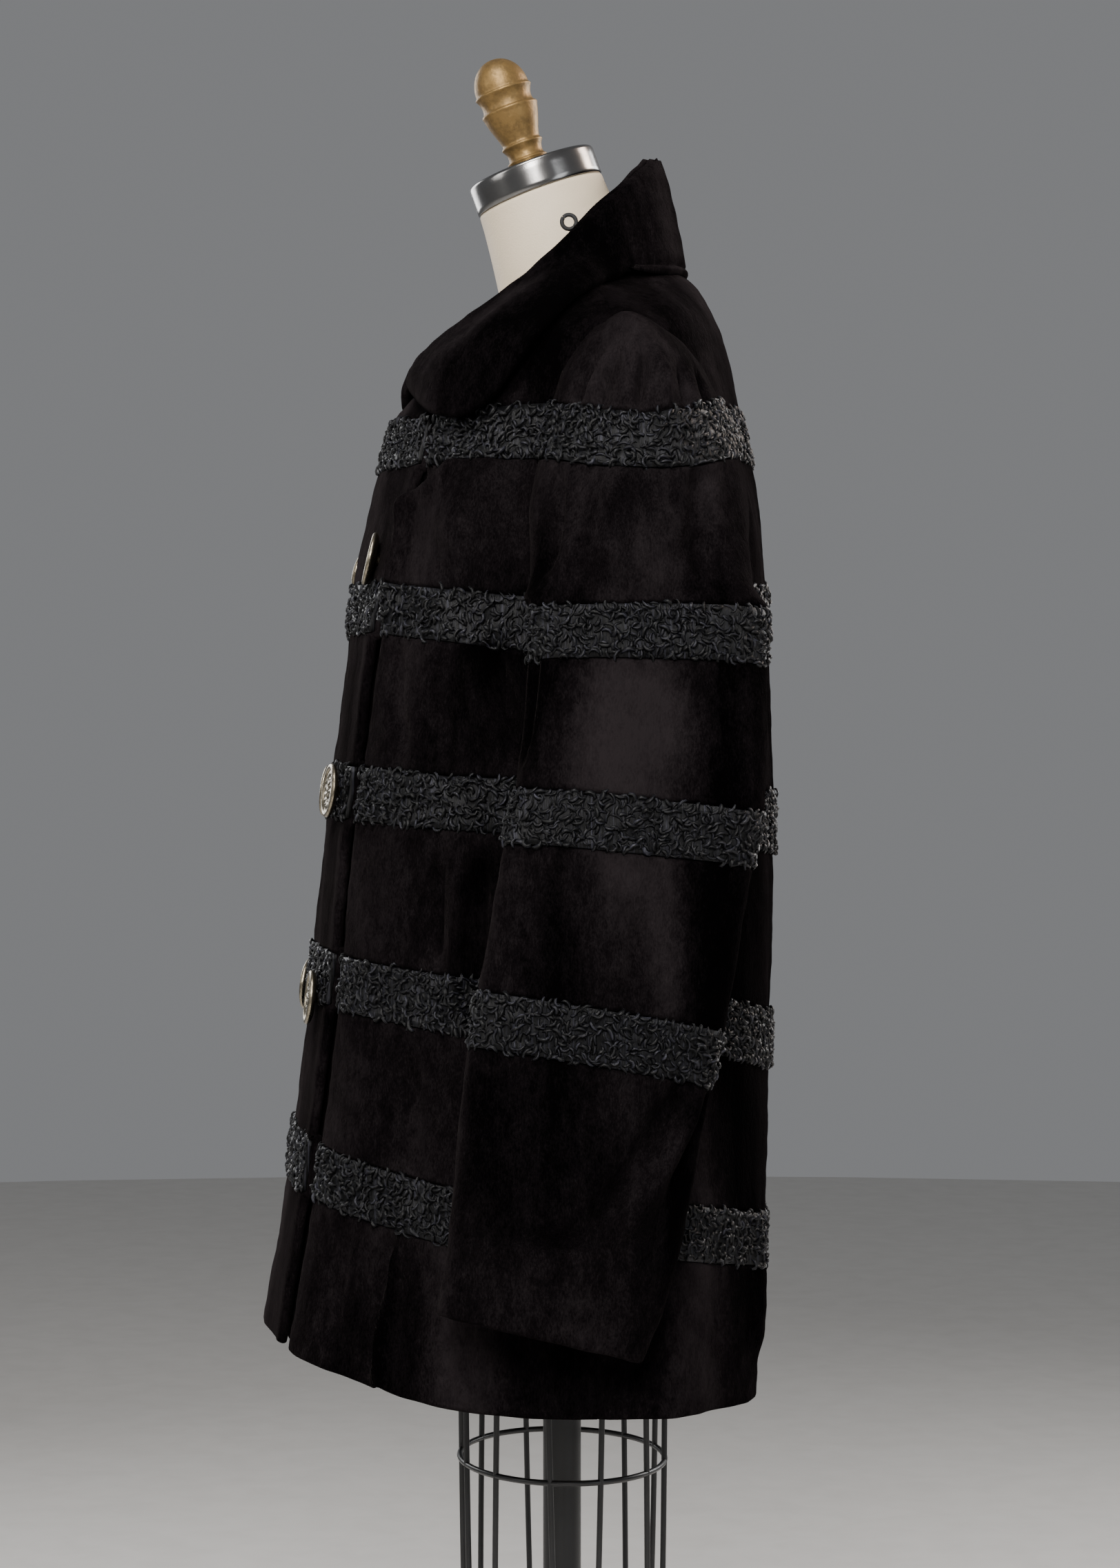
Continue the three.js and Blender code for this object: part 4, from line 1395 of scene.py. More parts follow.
@dataclass
class Collar(ClothPiece):
    """Large turned-down collar: stations round the neck, each an up-and-over path."""

    columns: int = 64
    # Fold line: depth and height it starts from, slope, its centre's depth, its half
    # depth and half width, how far it dips at the sides.
    plane: tuple[float, ...] = (64, 1488, 0.86, -20, 84, 98, 10)

    SEAM_IN = 3.5                     # how far the neck seam lies inside the coat
    STAND = (5.0, 8.0)                # stand's first step: in from the coat, and up
    UNDER_FOLD = (6.0, 5.0)           # path point inside the fold: in, and down
    OVER_FOLD = (6.5, 4.0)            # path point outside the fold: out, and down
    BELLY = 6.0                       # how far the fall rounds out between fold and edge
    HALF_RING = 10.8                  # ring that the fall's middle is measured towards
    STATIONS = 2 * len(COLLAR) - 2    # the last station's number, the back one shared
    COLUMNS = 6                       # the last number along a station's path

    def limits(self) -> tuple[float, float]:
        """Right end to left end."""
        return (0.0, float(self.STATIONS))

    def middle(self) -> float:
        """The outer edge, where the steps are longest."""
        return 0.95

    def path(self, k: Array) -> Array:
        """Up-and-over path of one station, neckline to outer edge, left side.

        Args:
            k: the station's row of the collar table.

        Returns:
            Seven points.
        """
        neck, fold, s, t, lift = k
        one = np.ones(1)

        def at(ring: float, angle: float, out: float) -> Array:
            """Coat point moved out."""
            a, b = ring * one, angle * one
            return (FORM.point(a, b) + FORM.normal(a, b) * out)[0]

        y0, z0, slope, cy, ry, rx, dip = self.plane
        base = at(NECKLINE, neck, -self.SEAM_IN)
        inward = unit(at(NECKLINE + 0.1, neck, 0) - at(NECKLINE, neck, 0))
        psi = math.radians(fold)
        top = np.array([rx * math.sin(psi), cy + ry * math.cos(psi), 0.0])
        top[2] = z0 + (top[1] - y0) * slope - dip * math.sin(psi) ** 2
        out = unit(np.array([top[0], top[1] - cy, 0.0]))
        up = np.array([0, 0, 1.0])
        rise = base + inward * self.STAND[0] + up * self.STAND[1]
        before = top - out * self.UNDER_FOLD[0] - up * self.UNDER_FOLD[1]
        after = top + out * self.OVER_FOLD[0] - up * self.OVER_FOLD[1]
        half = at(s + (self.HALF_RING - s) * 0.5, t + (neck - t) * 0.5, lift + self.BELLY)
        return np.array([base, rise, before, top, after, half, at(s, t, lift)])

    def base(self, v: Array, u: Array) -> tuple[Array, Array]:
        """Smooth surface through the stations' paths.

        Args:
            v: station numbers.
            u: places along the paths, 0 at the neckline.

        Returns:
            Points and normals.
        """
        left = np.array([self.path(k) for k in COLLAR])
        net = np.concatenate([left[1:][::-1] * MIRROR, left])
        span = np.linalg.norm(np.diff(net[self.STATIONS // 2], axis=0), axis=1)
        knots = np.concatenate([[0], np.cumsum(span)]) / span.sum()
        col = np.interp(u, knots, np.arange(self.COLUMNS + 1))
        return self.read(net, v, col), self.read_normal(net, v, col)

    def read(self, net: Array, v: Array, col: Array) -> Array:
        """Net read smoothly both ways.

        Args:
            net: points, stations by path points by 3.
            v: station numbers.
            col: places along the paths.

        Returns:
            The points.
        """
        j = np.clip(np.floor(col).astype(int), 0, self.COLUMNS - 1)
        f = (col - j)[..., None]
        i = np.clip(np.floor(v).astype(int), 0, self.STATIONS - 1)
        g = (v - i)[..., None]

        def column(k: int) -> Array:
            """Net read along the stations, k columns past each point's own.

            Args:
                k: how many columns on.

            Returns:
                The points.
            """
            q = [net[np.clip(i + r, 0, self.STATIONS), np.clip(j + k, 0, self.COLUMNS)]
                 for r in (-1, 0, 1, 2)]
            return catmull(*q, g)

        return catmull(*(column(k) for k in (-1, 0, 1, 2)), f)

    def read_normal(self, net: Array, v: Array, col: Array) -> Array:
        """Normal of the net's smooth surface, away from the neck on the fall.

        Args:
            net: points, stations by path points by 3.
            v: station numbers.
            col: places along the paths.

        Returns:
            Unit normals: the cross product of small steps both ways.
        """
        step_v, step_col = 0.1, 0.05
        round_it = (self.read(net, np.minimum(v + step_v, self.STATIONS), col)
                    - self.read(net, np.maximum(v - step_v, 0), col))
        over = (self.read(net, v, np.minimum(col + step_col, self.COLUMNS))
                - self.read(net, v, np.maximum(col - step_col, 0)))
        return unit(np.cross(round_it, over))

    def across(self, v: Array, u: Array, p: Array) -> Array:
        """Sideways place."""
        return p[..., 0]

    def surface(self, v: Array, u: Array, out: Array | float = 0.0) -> Array:
        """Outer skin: half a wall off the middle surface."""
        return super().surface(v, u, WALL / 2 + out)

    def rims(self) -> tuple[float, float, float, float]:
        """Round ends and outer edge."""
        return (3.8, 4.6, 3.8, 0.3)


# ---------------------------------------------------------------- curly lamb
@dataclass
class LambCurls:
    """The lamb strips of one panel: a lumpy ground strip under curled locks."""

    cloth: ClothPiece
    name: str
    seed: int
    cell: float = 4.4
    rings: int = 4
    ground: float = -1.2
    # Ranges as lowest value and how much is added at most.
    bend: tuple[float, float] = (0.12, 0.26)
    length: tuple[float, float] = (7.0, 6.0)
    crest: tuple[float, float] = (0.4, 3.6)
    half: tuple[float, float] = (0.95, 0.95)

    LUMP = 0.9          # how uneven the ground is
    ROOT = -0.6         # height of a lock's ends over the bed's rim
    MARGIN = 3.5        # how far inside a strip's long edges the locks begin
    OVERHANG = 4.0      # how far a strip reaches past its band
    STRIP_ROWS = 12
    STRIP_STEP = 4.5
    FLAT = 0.62         # thickness of a lock over its width
    THIN = 0.35         # width left at a lock's ends
    CORNERS = (90, 210, 330)

    def strip(self, low: float, high: float) -> tuple[Array, Array, float, float]:
        """Even grid over one band, a little wider than the band.

        Args:
            low: first row number of the band.
            high: last row number.

        Returns:
            Points, normals, the strip's width along the panel and its height.
        """
        table_v, table_l = self.cloth.lengths()
        la, lb = np.interp([low, high], table_v, table_l)
        lengths = np.linspace(la - self.OVERHANG, lb + self.OVERHANG, self.STRIP_ROWS)
        v = np.interp(lengths, table_l, table_v)
        middle = self.STRIP_ROWS // 2
        u = np.linspace(0, 1, 400)
        line = self.cloth.surface(np.full(u.shape, v[middle]), u)
        along = np.concatenate([[0], np.cumsum(np.linalg.norm(np.diff(line, axis=0), axis=1))])
        u = np.interp(np.linspace(0, along[-1], int(along[-1] / self.STRIP_STEP)), along, u)
        vv, uu = np.meshgrid(v, u, indexing="ij")
        p = self.cloth.surface(vv, uu)
        n = self.cloth.outward(p, vv, uu)
        width = np.linalg.norm(np.diff(p[middle], axis=0), axis=1).sum()
        return p, n, float(width), float(lb - la + 2 * self.OVERHANG)

    @staticmethod
    def sample(grid: Array, a: Array, b: Array) -> Array:
        """Grid read by bilinear blending.

        Args:
            grid: rows by columns by 3.
            a: fractional row numbers.
            b: fractional column numbers.

        Returns:
            The values.
        """
        a = np.clip(a, 0, grid.shape[0] - 1.001)
        b = np.clip(b, 0, grid.shape[1] - 1.001)
        i, j = a.astype(int), b.astype(int)
        f, g = (a - i)[..., None], (b - j)[..., None]
        return (grid[i, j] * (1 - f) * (1 - g) + grid[i + 1, j] * f * (1 - g)
                + grid[i, j + 1] * (1 - f) * g + grid[i + 1, j + 1] * f * g)

    def locks(self, p: Array, n: Array, width: float, tall: float,
              rng: np.random.Generator) -> tuple[Array, Array, Array]:
        """Curled locks: arcs of a circle laid on the strip, arched up, three-sided, tapered.

        Args:
            p: strip points.
            n: strip normals.
            width: strip width in millimetres.
            tall: strip height.
            rng: random source.

        Returns:
            Points, triangles and a texture point for each triangle corner.
        """
        inside = tall - 2 * self.MARGIN
        nx, ny = int(width / self.cell), max(int(inside / self.cell), 2)
        gx, gy = np.meshgrid(np.arange(nx), np.arange(ny), indexing="ij")
        count = gx.size
        x0 = (gx.ravel() + rng.random(count)) / nx * width
        y0 = self.MARGIN + (gy.ravel() + rng.random(count)) / ny * inside
        swirl = np.sin(x0 * 0.21 + 3 * np.sin(y0 * 0.13)) + np.sin(y0 * 0.31 + x0 * 0.07)
        heading = swirl * 2.2 + rng.normal(size=count) * 0.7
        bend = (self.bend[0] + self.bend[1] * rng.random(count)) * rng.choice([-1, 1], count)
        length = self.length[0] + self.length[1] * rng.random(count)
        crest = self.crest[0] + self.crest[1] * rng.random(count) ** 1.3
        half = self.half[0] + self.half[1] * rng.random(count)
        s = np.linspace(-0.5, 0.5, self.rings + 2)[None, :] * length[:, None]
        turn = heading[:, None] + bend[:, None] * s * (1 + 0.5 * s / length[:, None])
        step = np.diff(s, axis=1)
        mid = (turn[:, 1:] + turn[:, :-1]) / 2
        zero = np.zeros((count, 1))
        x = np.concatenate([zero, np.cumsum(np.cos(mid) * step, 1)], 1)
        y = np.concatenate([zero, np.cumsum(np.sin(mid) * step, 1)], 1)
        x = x - x.mean(1, keepdims=True) + x0[:, None]
        y = y - y.mean(1, keepdims=True) + y0[:, None]
        share = np.linspace(-1, 1, self.rings + 2)[None, :]
        high = self.ROOT + crest[:, None] * (1 - share**2) ** 0.7
        rows = y / tall * (p.shape[0] - 1)
        cols = x / width * (p.shape[1] - 1)
        up = unit(self.sample(n, rows, cols))
        centre = self.sample(p, rows, cols) + up * high[..., None]
        along = unit(np.gradient(centre, axis=1))
        side = unit(np.cross(along, up))
        up = np.cross(side, along)
        taper = (1 - np.abs(share) ** 3)[..., None]
        inner = slice(1, -1)
        wide = half[:, None, None]
        slim = self.THIN + (1 - self.THIN) * taper[:, inner]
        corners = []
        for angle in self.CORNERS:
            c, w = math.cos(math.radians(angle)), math.sin(math.radians(angle))
            offset = side[:, inner] * c * wide + up[:, inner] * w * self.FLAT * wide
            corners.append(centre[:, inner] + offset * slim)
        body = np.stack(corners, 2).reshape(count, -1, 3)
        verts = np.concatenate([body, centre[:, :1], centre[:, -1:]], 1)
        faces, uv = self.lock_pattern()
        per = verts.shape[1]
        tris = (faces[None] + (np.arange(count) * per)[:, None, None]).reshape(-1, 3)
        stretch = length[:, None, None] / 10
        shift = rng.random((count, 1, 2)) * np.array([40.0, 0.0])
        lane = np.floor(rng.random((count, 1, 1)) * 60) * 3.0
        tex = uv[None] * np.concatenate([stretch, np.ones_like(stretch)], 2)
        tex = tex + shift + lane * np.array([0.0, 1.0])
        return verts.reshape(-1, 3), tris, tex.reshape(-1, 2)

    def lock_pattern(self) -> tuple[Array, Array]:
        """Triangles of one lock and their texture points.

        Returns:
            Faces, k by 3, and a texture point for each of their corners.
        """
        r = self.rings
        faces, uv = [], []
        for i in range(r - 1):
            for k in range(3):
                a, b = i * 3 + k, i * 3 + (k + 1) % 3
                c, d = b + 3, a + 3
                lo, hi = i / r, (i + 1) / r
                faces += [(a, b, c), (a, c, d)]
                uv += [(lo, k / 3), (lo, (k + 1) / 3), (hi, (k + 1) / 3)]
                uv += [(lo, k / 3), (hi, (k + 1) / 3), (hi, k / 3)]
        for k in range(3):
            faces += [(k, 3 * r, (k + 1) % 3), (3 * r - 3 + k, 3 * r - 3 + (k + 1) % 3, 3 * r + 1)]
            uv += [(0, k / 3), (-0.1, k / 3), (0, (k + 1) / 3)]
            uv += [(1, k / 3), (1, (k + 1) / 3), (1.1, k / 3)]
        return np.array(faces), np.array(uv, float)

    def ground_strip(self, p: Array, n: Array, rng: np.random.Generator) -> tuple[Array, Array]:
        """Closed lumpy strip under the locks.

        Args:
            p: strip points.
            n: strip normals.
            rng: random source.

        Returns:
            Points and triangles.
        """
        p, n = p[1:-1], n[1:-1]
        m, k = p.shape[:2]
        lump = self.ground + self.LUMP * rng.random((m, k, 1))
        outer, inner = p + n * lump, p - n * (BED - 0.4)
        ids = np.arange(m * k).reshape(m, k)
        border = open_border(m, k, (0, 0, 0, 0))
        ring = ids[border.i, border.j]
        quads = np.concatenate([
            grid_quads(ids), grid_quads(ids + m * k)[:, ::-1],
            np.stack([np.roll(ring, -1), ring, ring + m * k, np.roll(ring, -1) + m * k], -1)])
        tris = np.concatenate([quads[:, [0, 1, 2]], quads[:, [0, 2, 3]]])
        verts = np.concatenate([outer.reshape(-1, 3), inner.reshape(-1, 3)])
        return verts, tris[:, ::-1] if signed(verts, tris) < 0 else tris

    def build(self) -> bpy.types.Object:
        """Makes one object of all the strips and locks of the panel.

        Returns:
            The object.
        """
        rng = np.random.default_rng(self.seed)
        one_lock = len(self.lock_pattern()[0])
        verts, tris, tex, at = [], [], [], 0
        for low, high in self.cloth.bands().values():
            p, n, width, tall = self.strip(low, high)
            locks, faces, uv = self.locks(p, n, width, tall, rng)
            if signed(locks - locks[0], faces[:one_lock]) < 0:
                faces = faces[:, ::-1]
                uv = uv.reshape(-1, 3, 2)[:, ::-1].reshape(-1, 2)
            ground, under = self.ground_strip(p, n, rng)
            flat_uv = ground[under].reshape(-1, 3)[:, :2] * 0.3
            verts += [locks, ground]
            tris += [faces + at, under + at + len(locks)]
            tex += [uv, flat_uv]
            at += len(locks) + len(ground)
        return make_mesh(self.name, np.concatenate(verts), np.zeros((0, 4), int),
                         np.concatenate(tris), np.concatenate(tex))


# ---------------------------------------------------------------- trims
@dataclass
class NeckLoop:
    """Ring of black cord at the collar's fold."""

    at: tuple[float, float, float] = (90, -3, 1434)
    ring: float = 5.0
    cord: float = 1.5

    def build(self) -> bpy.types.Object:
        """Makes the ring.

        Returns:
            The object.
        """
        t = np.linspace(0, 2 * np.pi, 60, endpoint=False)
        line = np.stack([0 * t, self.ring * np.cos(t), self.ring * np.sin(t)], -1)
        return joined("cord_loop", [tube(line + np.array(self.at), self.cord, 10, True)])


@dataclass
class Button:
    """Cast shank button: thick smooth rim round a sunk face with a flower and leaves."""

    name: str
    ring: float
    lift: float
    sideways: float
    lean: float

    PROFILE = ((0, 0), (3.6, 0), (4, 0.6), (4, 3), (14, 3.6), (17.4, 4.7), (18.6, 5.8), (19, 7),
               (18.8, 7.9), (18.2, 8.6), (17.4, 8.95), (16.6, 9), (15.9, 8.8), (15.3, 8.2),
               (15.0, 7.6), (14.6, 7.4))
    FACE_RADII = np.linspace(14.2, 0.0, 26)
    FACE_HEIGHT = 7.4
    SHANK_GAP = 0.8
    STEPS = 80

    @staticmethod
    def relief(r: Array, t: Array, h: Array) -> Array:
        """Face pattern: eight petals, a dotted ring and a border of sixteen leaves.

        Args:
            r: radii.
            t: angles.
            h: heights, to leave the back and rim alone.

        Returns:
            Height added, in millimetres.
        """
        face = (h > 7.0) & (r < 14.5)
        petal = np.clip(np.cos(4 * t) ** 2 - 0.2, 0, 1) * np.exp(-((r - 4.2) / 2.0) ** 2)
        heart = np.exp(-(r / 1.7) ** 2)
        leaf = (np.clip(np.cos(8 * t + (r - 11.5) * 0.35) ** 2 - 0.25, 0, 1)
                * np.exp(-((r - 11.4) / 1.7) ** 2))
        bead = np.clip(np.cos(12 * t), 0, 1) * np.exp(-((r - 7.9) / 0.55) ** 2)
        return np.where(face, 1.3 * petal + 1.2 * heart + 1.15 * leaf + 0.6 * bead, 0.0)

    def build(self) -> bpy.types.Object:
        """Makes the button on the cloth, leaning a little on its shank.

        Returns:
            The object.
        """
        ring = np.array([self.ring])
        t = FORM.angle_at(ring, np.array([self.sideways]))
        n = FORM.normal(ring, t)[0]
        at = FORM.point(ring, t)[0] + n * (self.lift + self.SHANK_GAP)
        c, s = math.cos(math.radians(self.lean)), math.sin(math.radians(self.lean))
        facing = Vector((n[0] * c + n[1] * s, n[1] * c - n[0] * s, n[2]))
        turn = Vector((0, 0, 1)).rotation_difference(facing).to_matrix()
        spin = np.array(turn)

        def place(p: Array) -> Array:
            """Onto the cloth."""
            return p @ spin.T + at

        face = [(float(r), self.FACE_HEIGHT) for r in self.FACE_RADII]
        return turned(self.name, [*self.PROFILE, *face], self.STEPS, place, self.relief)


# ---------------------------------------------------------------- dress form
NECK_LEAN = math.radians(20)
NECK_TOP = np.array([0, -15.75, 1467.0])
NECK_AXIS = np.array([0, -math.sin(NECK_LEAN), math.cos(NECK_LEAN)])
# Torso: height, depth at front, side, back, half width, squareness.
TORSO = np.array([
    [842, -92, 5, 104, 150, 2.2], [900, -110, 5, 118, 165, 2.2], [965, -102, 6, 108, 148, 2.2],
    [1030, -86, 8, 92, 122, 2.1], [1110, -94, 10, 100, 132, 2.1], [1180, -110, 12, 112, 150, 2.2],
    [1240, -100, 16, 116, 163, 2.2],
])
NECK = np.array([[-84, 58], [-62, 53.5], [-36, 50], [-12, 47.5], [-1.5, 46.8], [0, 45.5]])
PLATE = ((7.2, 6.0), (8.0, 4.0), (9.0, 0.8), (10.0, 0.8))
FINIAL = ((0, 0), (13.9, 0), (14.1, 2.6), (14.5, 4.8), (14.9, 5.8), (14.3, 6.5), (13.2, 7.6),
          (12.8, 10.4), (13.3, 13.2), (14.5, 15.6), (15.4, 17), (14.8, 18.1), (13.9, 19.2),
          (14.3, 21.6), (15.2, 25), (16.6, 29), (18.2, 33.6), (19.5, 38), (20.4, 41.8),
          (20.95, 43.4), (20.5, 44.5), (19.3, 45.4), (18.6, 47.6), (18.5, 50.2), (19.1, 53),
          (20.3, 55.8), (21.1, 57.2), (20.7, 58.3), (19.9, 59.2), (19.8, 62), (19.0, 66.4),
          (17.1, 71.4), (14.0, 75.8), (9.6, 79.4), (4.8, 81.4), (0, 82))


def eased(profile: tuple[tuple[float, float], ...], times: int) -> list[tuple[float, float]]:
    """Profile with points added on a smooth curve through its own.

    Args:
        profile: radius and height.
        times: points for each span.

    Returns:
        The finer profile.
    """
    pts = np.array(profile, float)
    inner = pts[1:]
    v = np.linspace(0, len(inner) - 1, (len(inner) - 1) * times + 1)
    fine = along_rows(inner, v)
    fine[:, 0] = np.maximum(fine[:, 0], 0)
    fine[-1] = pts[-1]
    return [tuple(pts[0]), *map(tuple, fine)]


@dataclass
class DressForm:
    """Limbless form: torso, neck band, turned finial, wire cage, pole and base."""

    wardrobe: Wardrobe
    count: int = 96
    pole: float = 13.75
    base_r: float = 200.0
    base_h: float = 14.0
    band_h: float = 21.0
    gap: float = 0.3
    lap_room: float = 12.0
    fold_room: float = 7.0
    # Cage: half width and depth, wire radius, uprights and their slants in degrees,
    # and height, size, and share of the slant of each hoop.
    cage_half: tuple[float, float] = (108.0, 74.0)
    wire: float = 2.1
    uprights: int = 12
    slants: tuple[float, float] = (-3.0, 4.0)
    hoops: tuple[tuple[float, float, float], ...] = (
        (430.0, 0.98, 1.0), (553.0, 1.0, 1 / 3), (839.5, 1.02, -1.0))

    def on_neck(self, lift: float) -> Callable[[Array], Array]:
        """Placement along the leaning neck axis.

        Args:
            lift: how far up the axis the piece starts, in millimetres.

        Returns:
            A function that moves points there.
        """
        turn = np.array(Vector((0, 0, 1)).rotation_difference(Vector(NECK_AXIS)).to_matrix())
        at = NECK_TOP + NECK_AXIS * lift
        return lambda p: p @ turn.T + at

    def torso(self) -> bpy.types.Object:
        """Stacked rings: superellipses, then the coat's own shoulders, then the neck.

        Returns:
            The object.
        """
        t = np.degrees(np.arange(self.count) * 2 * np.pi / self.count)
        rings = []
        fine = along_rows(TORSO, np.linspace(0, len(TORSO) - 1, 31))
        w = np.radians(t)
        for z, front, side, back, wide, power in fine:
            c, q = np.cos(w), np.sin(w)
            e = 2 / power
            rings.append(np.stack([
                wide * np.sign(q) * np.abs(q) ** e,
                side + (np.where(c >= 0, front, back) - side) * np.abs(c) ** e,
                np.full(t.shape, z)], -1))
        for s, clear in PLATE:
            one = np.full(t.shape, s)
            c = np.abs(np.cos(w))
            lap = np.where(np.cos(w) > 0.5, self.lap_room, 0.0)
            deep = WALL + clear + self.fold_room * np.minimum(1, c * 2.5) + lap
            rings.append(FORM.point(one, t) - FORM.normal(one, t) * deep[:, None])
        across = np.array([0, math.cos(NECK_LEAN), math.sin(NECK_LEAN)])
        spots = np.concatenate([np.arange(0, 4, 0.25), [4.0, 4.4, 4.8, 5.0]])
        for reach, r in along_rows(NECK, spots):
            centre = NECK_TOP + NECK_AXIS * reach
            rings.append(centre - across * (r * np.cos(w))[:, None]
                         + np.array([1.0, 0, 0]) * (r * np.sin(w))[:, None])
        pts = np.array(rings)
        ids = np.arange(pts.shape[0] * self.count).reshape(-1, self.count)
        ids = np.concatenate([ids, ids[:, :1]], 1)
        verts = np.concatenate([pts.reshape(-1, 3), [pts[0].mean(0)], [pts[-1].mean(0)]])
        hub = np.full(self.count, len(verts) - 2)
        low = np.stack([hub, hub, ids[0, 1:], ids[0, :-1]], -1)
        high = np.stack([hub + 1, hub + 1, ids[-1, :-1], ids[-1, 1:]], -1)
        whole, tris = split_quads(np.concatenate([grid_quads(ids), low, high]))
        return make_mesh("torso_skin", verts, whole, tris)

    def neck_band(self) -> bpy.types.Object:
        """Chrome band with a rounded upper edge.

        Returns:
            The object.
        """
        profile = [(0, 0), (46.9, 0), (47.4, 0.5), (47.4, 4), (47.4, 9), (47.4, 14), (47.4, 18.2),
                   (47.1, 19.4), (46.4, 20.4), (45.4, self.band_h), (40, self.band_h),
                   (0, self.band_h)]
        return turned("neck_band", profile, 160, self.on_neck(self.gap))

    def finial(self) -> bpy.types.Object:
        """Turned wooden finial, gilt."""
        return turned("finial", eased(FINIAL, 2), 64, self.on_neck(self.band_h + 2 * self.gap))

    def cage(self) -> bpy.types.Object:
        """Upright wires, a little aslant, joined by hoops.

        Returns:
            The object.
        """
        wide, deep = self.cage_half

        def oval(turn: Array, size: Array, height: Array) -> Array:
            """Points of the cage's oval outline."""
            return np.stack([wide * size * np.cos(turn), deep * size * np.sin(turn),
                             height + 0 * turn], -1)

        t = np.linspace(0, 2 * np.pi, 72, endpoint=False)
        parts = [tube(oval(t, size, height), self.wire, 10, True)
                 for height, size, _ in reversed(self.hoops)]
        heights, sizes, shares = np.array(self.hoops).T
        for j in range(self.uprights):
            at = math.radians(360 * (j + 0.5) / self.uprights)
            lean = math.radians(self.slants[j % 2])
            knots = oval(at + lean * shares, sizes, heights)
            line = along_rows(knots, np.linspace(0, len(knots) - 1, 9))
            parts.append(tube(line, self.wire, 10, False))
        return joined("wire_cage", parts)

    def upright(self) -> bpy.types.Object:
        """Round pole from the base to just under the torso, its ends a little bevelled.

        Returns:
            The object.
        """
        r, bevel = self.pole, 0.3
        low, high = self.base_h + self.gap, TORSO[0, 0] - self.gap
        profile = [(0, low), (r - bevel, low), (r, low + bevel), (r, 300), (r, 600),
                   (r, high - bevel), (r - bevel, high), (0, high)]
        return turned("pole", profile, 64, lambda p: p)

    def foot(self) -> bpy.types.Object:
        """Round base, softly crowned.

        Returns:
            The object.
        """
        r, h = self.base_r, self.base_h
        profile = [(0, 0), (r - 0.8, 0), (r, 0.8), (r, 6), (r - 0.8, 7.8), (r - 2.4, 9.2),
                   (r - 5, 10.2), (120, 12.4), (60, 13.5), (40, h), (20, h), (0, h)]
        return turned("base_plate", profile, 128, lambda p: p)

    def build(self) -> None:
        """Makes and dresses every piece."""
        dress = self.wardrobe.dress
        dress(self.torso(), Slot.SKIN, "form_torso")
        dress(self.neck_band(), Slot.CHROME, "form_neck_cap")
        dress(self.finial(), Slot.GOLD, "form_finial")
        dress(self.cage(), Slot.BLACK, "form_cage")
        dress(self.upright(), Slot.BLACK, "form_pole")
        dress(self.foot(), Slot.BLACK, "form_base")


# ---------------------------------------------------------------- the coat
@dataclass
class Coat:
    """Fronts, back, sleeves and collar with their lamb bands, buttons and loop."""

    wardrobe: Wardrobe

    def cloth(self) -> list[tuple[ClothPiece, str]]:
        """The panels and the solids they stand for.

        Returns:
            Panel and node, in the order in which they are made.
        """
        return [
            (FrontPanel("mink_front_left", under=True, creases=FRONT_CREASES), "front_left"),
            (FrontPanel("mink_front_right", mirror=True, creases=FAR_CREASES), "front_right"),
            (BackPanel("mink_back", creases=BACK_CREASES), "back"),
            (Sleeve("mink_sleeve_left", creases=SLEEVE_CREASES), "sleeve_left"),
            (Sleeve("mink_sleeve_right", mirror=True, creases=SLEEVE_CREASES), "sleeve_right"),
            (Collar("mink_collar"), "collar"),
        ]

    def build(self) -> None:
        """Makes the coat's panels, lamb bands, loop and buttons, and dresses them."""
        for number, (cloth, node) in enumerate(self.cloth()):
            piece = cloth.build()
            self.wardrobe.dress(piece, Slot.MINK, node)
            if cloth.bands():
                curls = LambCurls(cloth, cloth.name.replace("mink", "lamb"), 11 + number).build()
                nodes = [f"{node}_band{k}" for k in sorted(cloth.bands())]
                self.wardrobe.dress(curls, Slot.LAMB, *nodes)
        self.wardrobe.dress(NeckLoop().build(), Slot.CORD, "neck_loop")
        for row, ring, lift, lean in BUTTON_ROWS:
            for side, x, sunk in BUTTON_COLUMNS:
                name = f"button_{side.value}_{row}"
                button = Button(f"{name}_cast", ring, lift - sunk, x, lean).build()
                self.wardrobe.dress(button, Slot.BUTTON, name)


# Buttons of a column: name, ring number, lift in millimetres, lean in degrees.
BUTTON_ROWS = (("top", 4.54, -0.9, 16), ("mid", 3.0, 2.1, 1), ("low", 1.88, 0.8, 6))
# Columns: side, sideways place, how much deeper they sit.
BUTTON_COLUMNS = ((Side.LEFT, 86.0, 0.0), (Side.RIGHT, -86.0, 2.0))


# Paths give the place across the cloth and the height, in millimetres.
FRONT_CREASES = [
    Crease([(214, 1285), (217, 1235), (215, 1190), (219, 1140)], 9.0, 12),
    Crease([(292, 1280), (255, 1258), (190, 1238), (160, 1212), (150, 1185)], -10.1, 8),
    Crease([(306, 1276), (272, 1250), (212, 1228), (180, 1200), (170, 1175)], 7.7, 12),
    Crease([(345, 1262), (315, 1225), (292, 1190)], 8.6, 30),
    Crease([(335, 1142), (347, 1110), (362, 1083), (378, 1052)], 10.1, 10),
    Crease([(352, 1142), (366, 1110), (384, 1083), (400, 1052)], -17.1, 11),
    Crease([(238, 1140), (248, 1094), (272, 1055)], -8.1, 8),
    Crease([(310, 1100), (322, 1062), (330, 1035)], -6.1, 10),
    Crease([(322, 996), (326, 950), (330, 912)], -8.1, 6),
    Crease([(346, 1000), (349, 940), (352, 880)], 8.1, 6),
    Crease([(364, 1004), (366, 940), (368, 872)], -16.1, 10),
    Crease([(300, 868), (312, 820), (318, 772)], -5.2, 14),
    Crease([(296, 748), (286, 694), (270, 632)], -14.0, 6),
    Crease([(309, 748), (299, 694), (284, 632)], 10.1, 7),
    Crease([(232, 742), (224, 700), (216, 655)], -5.1, 9),
]
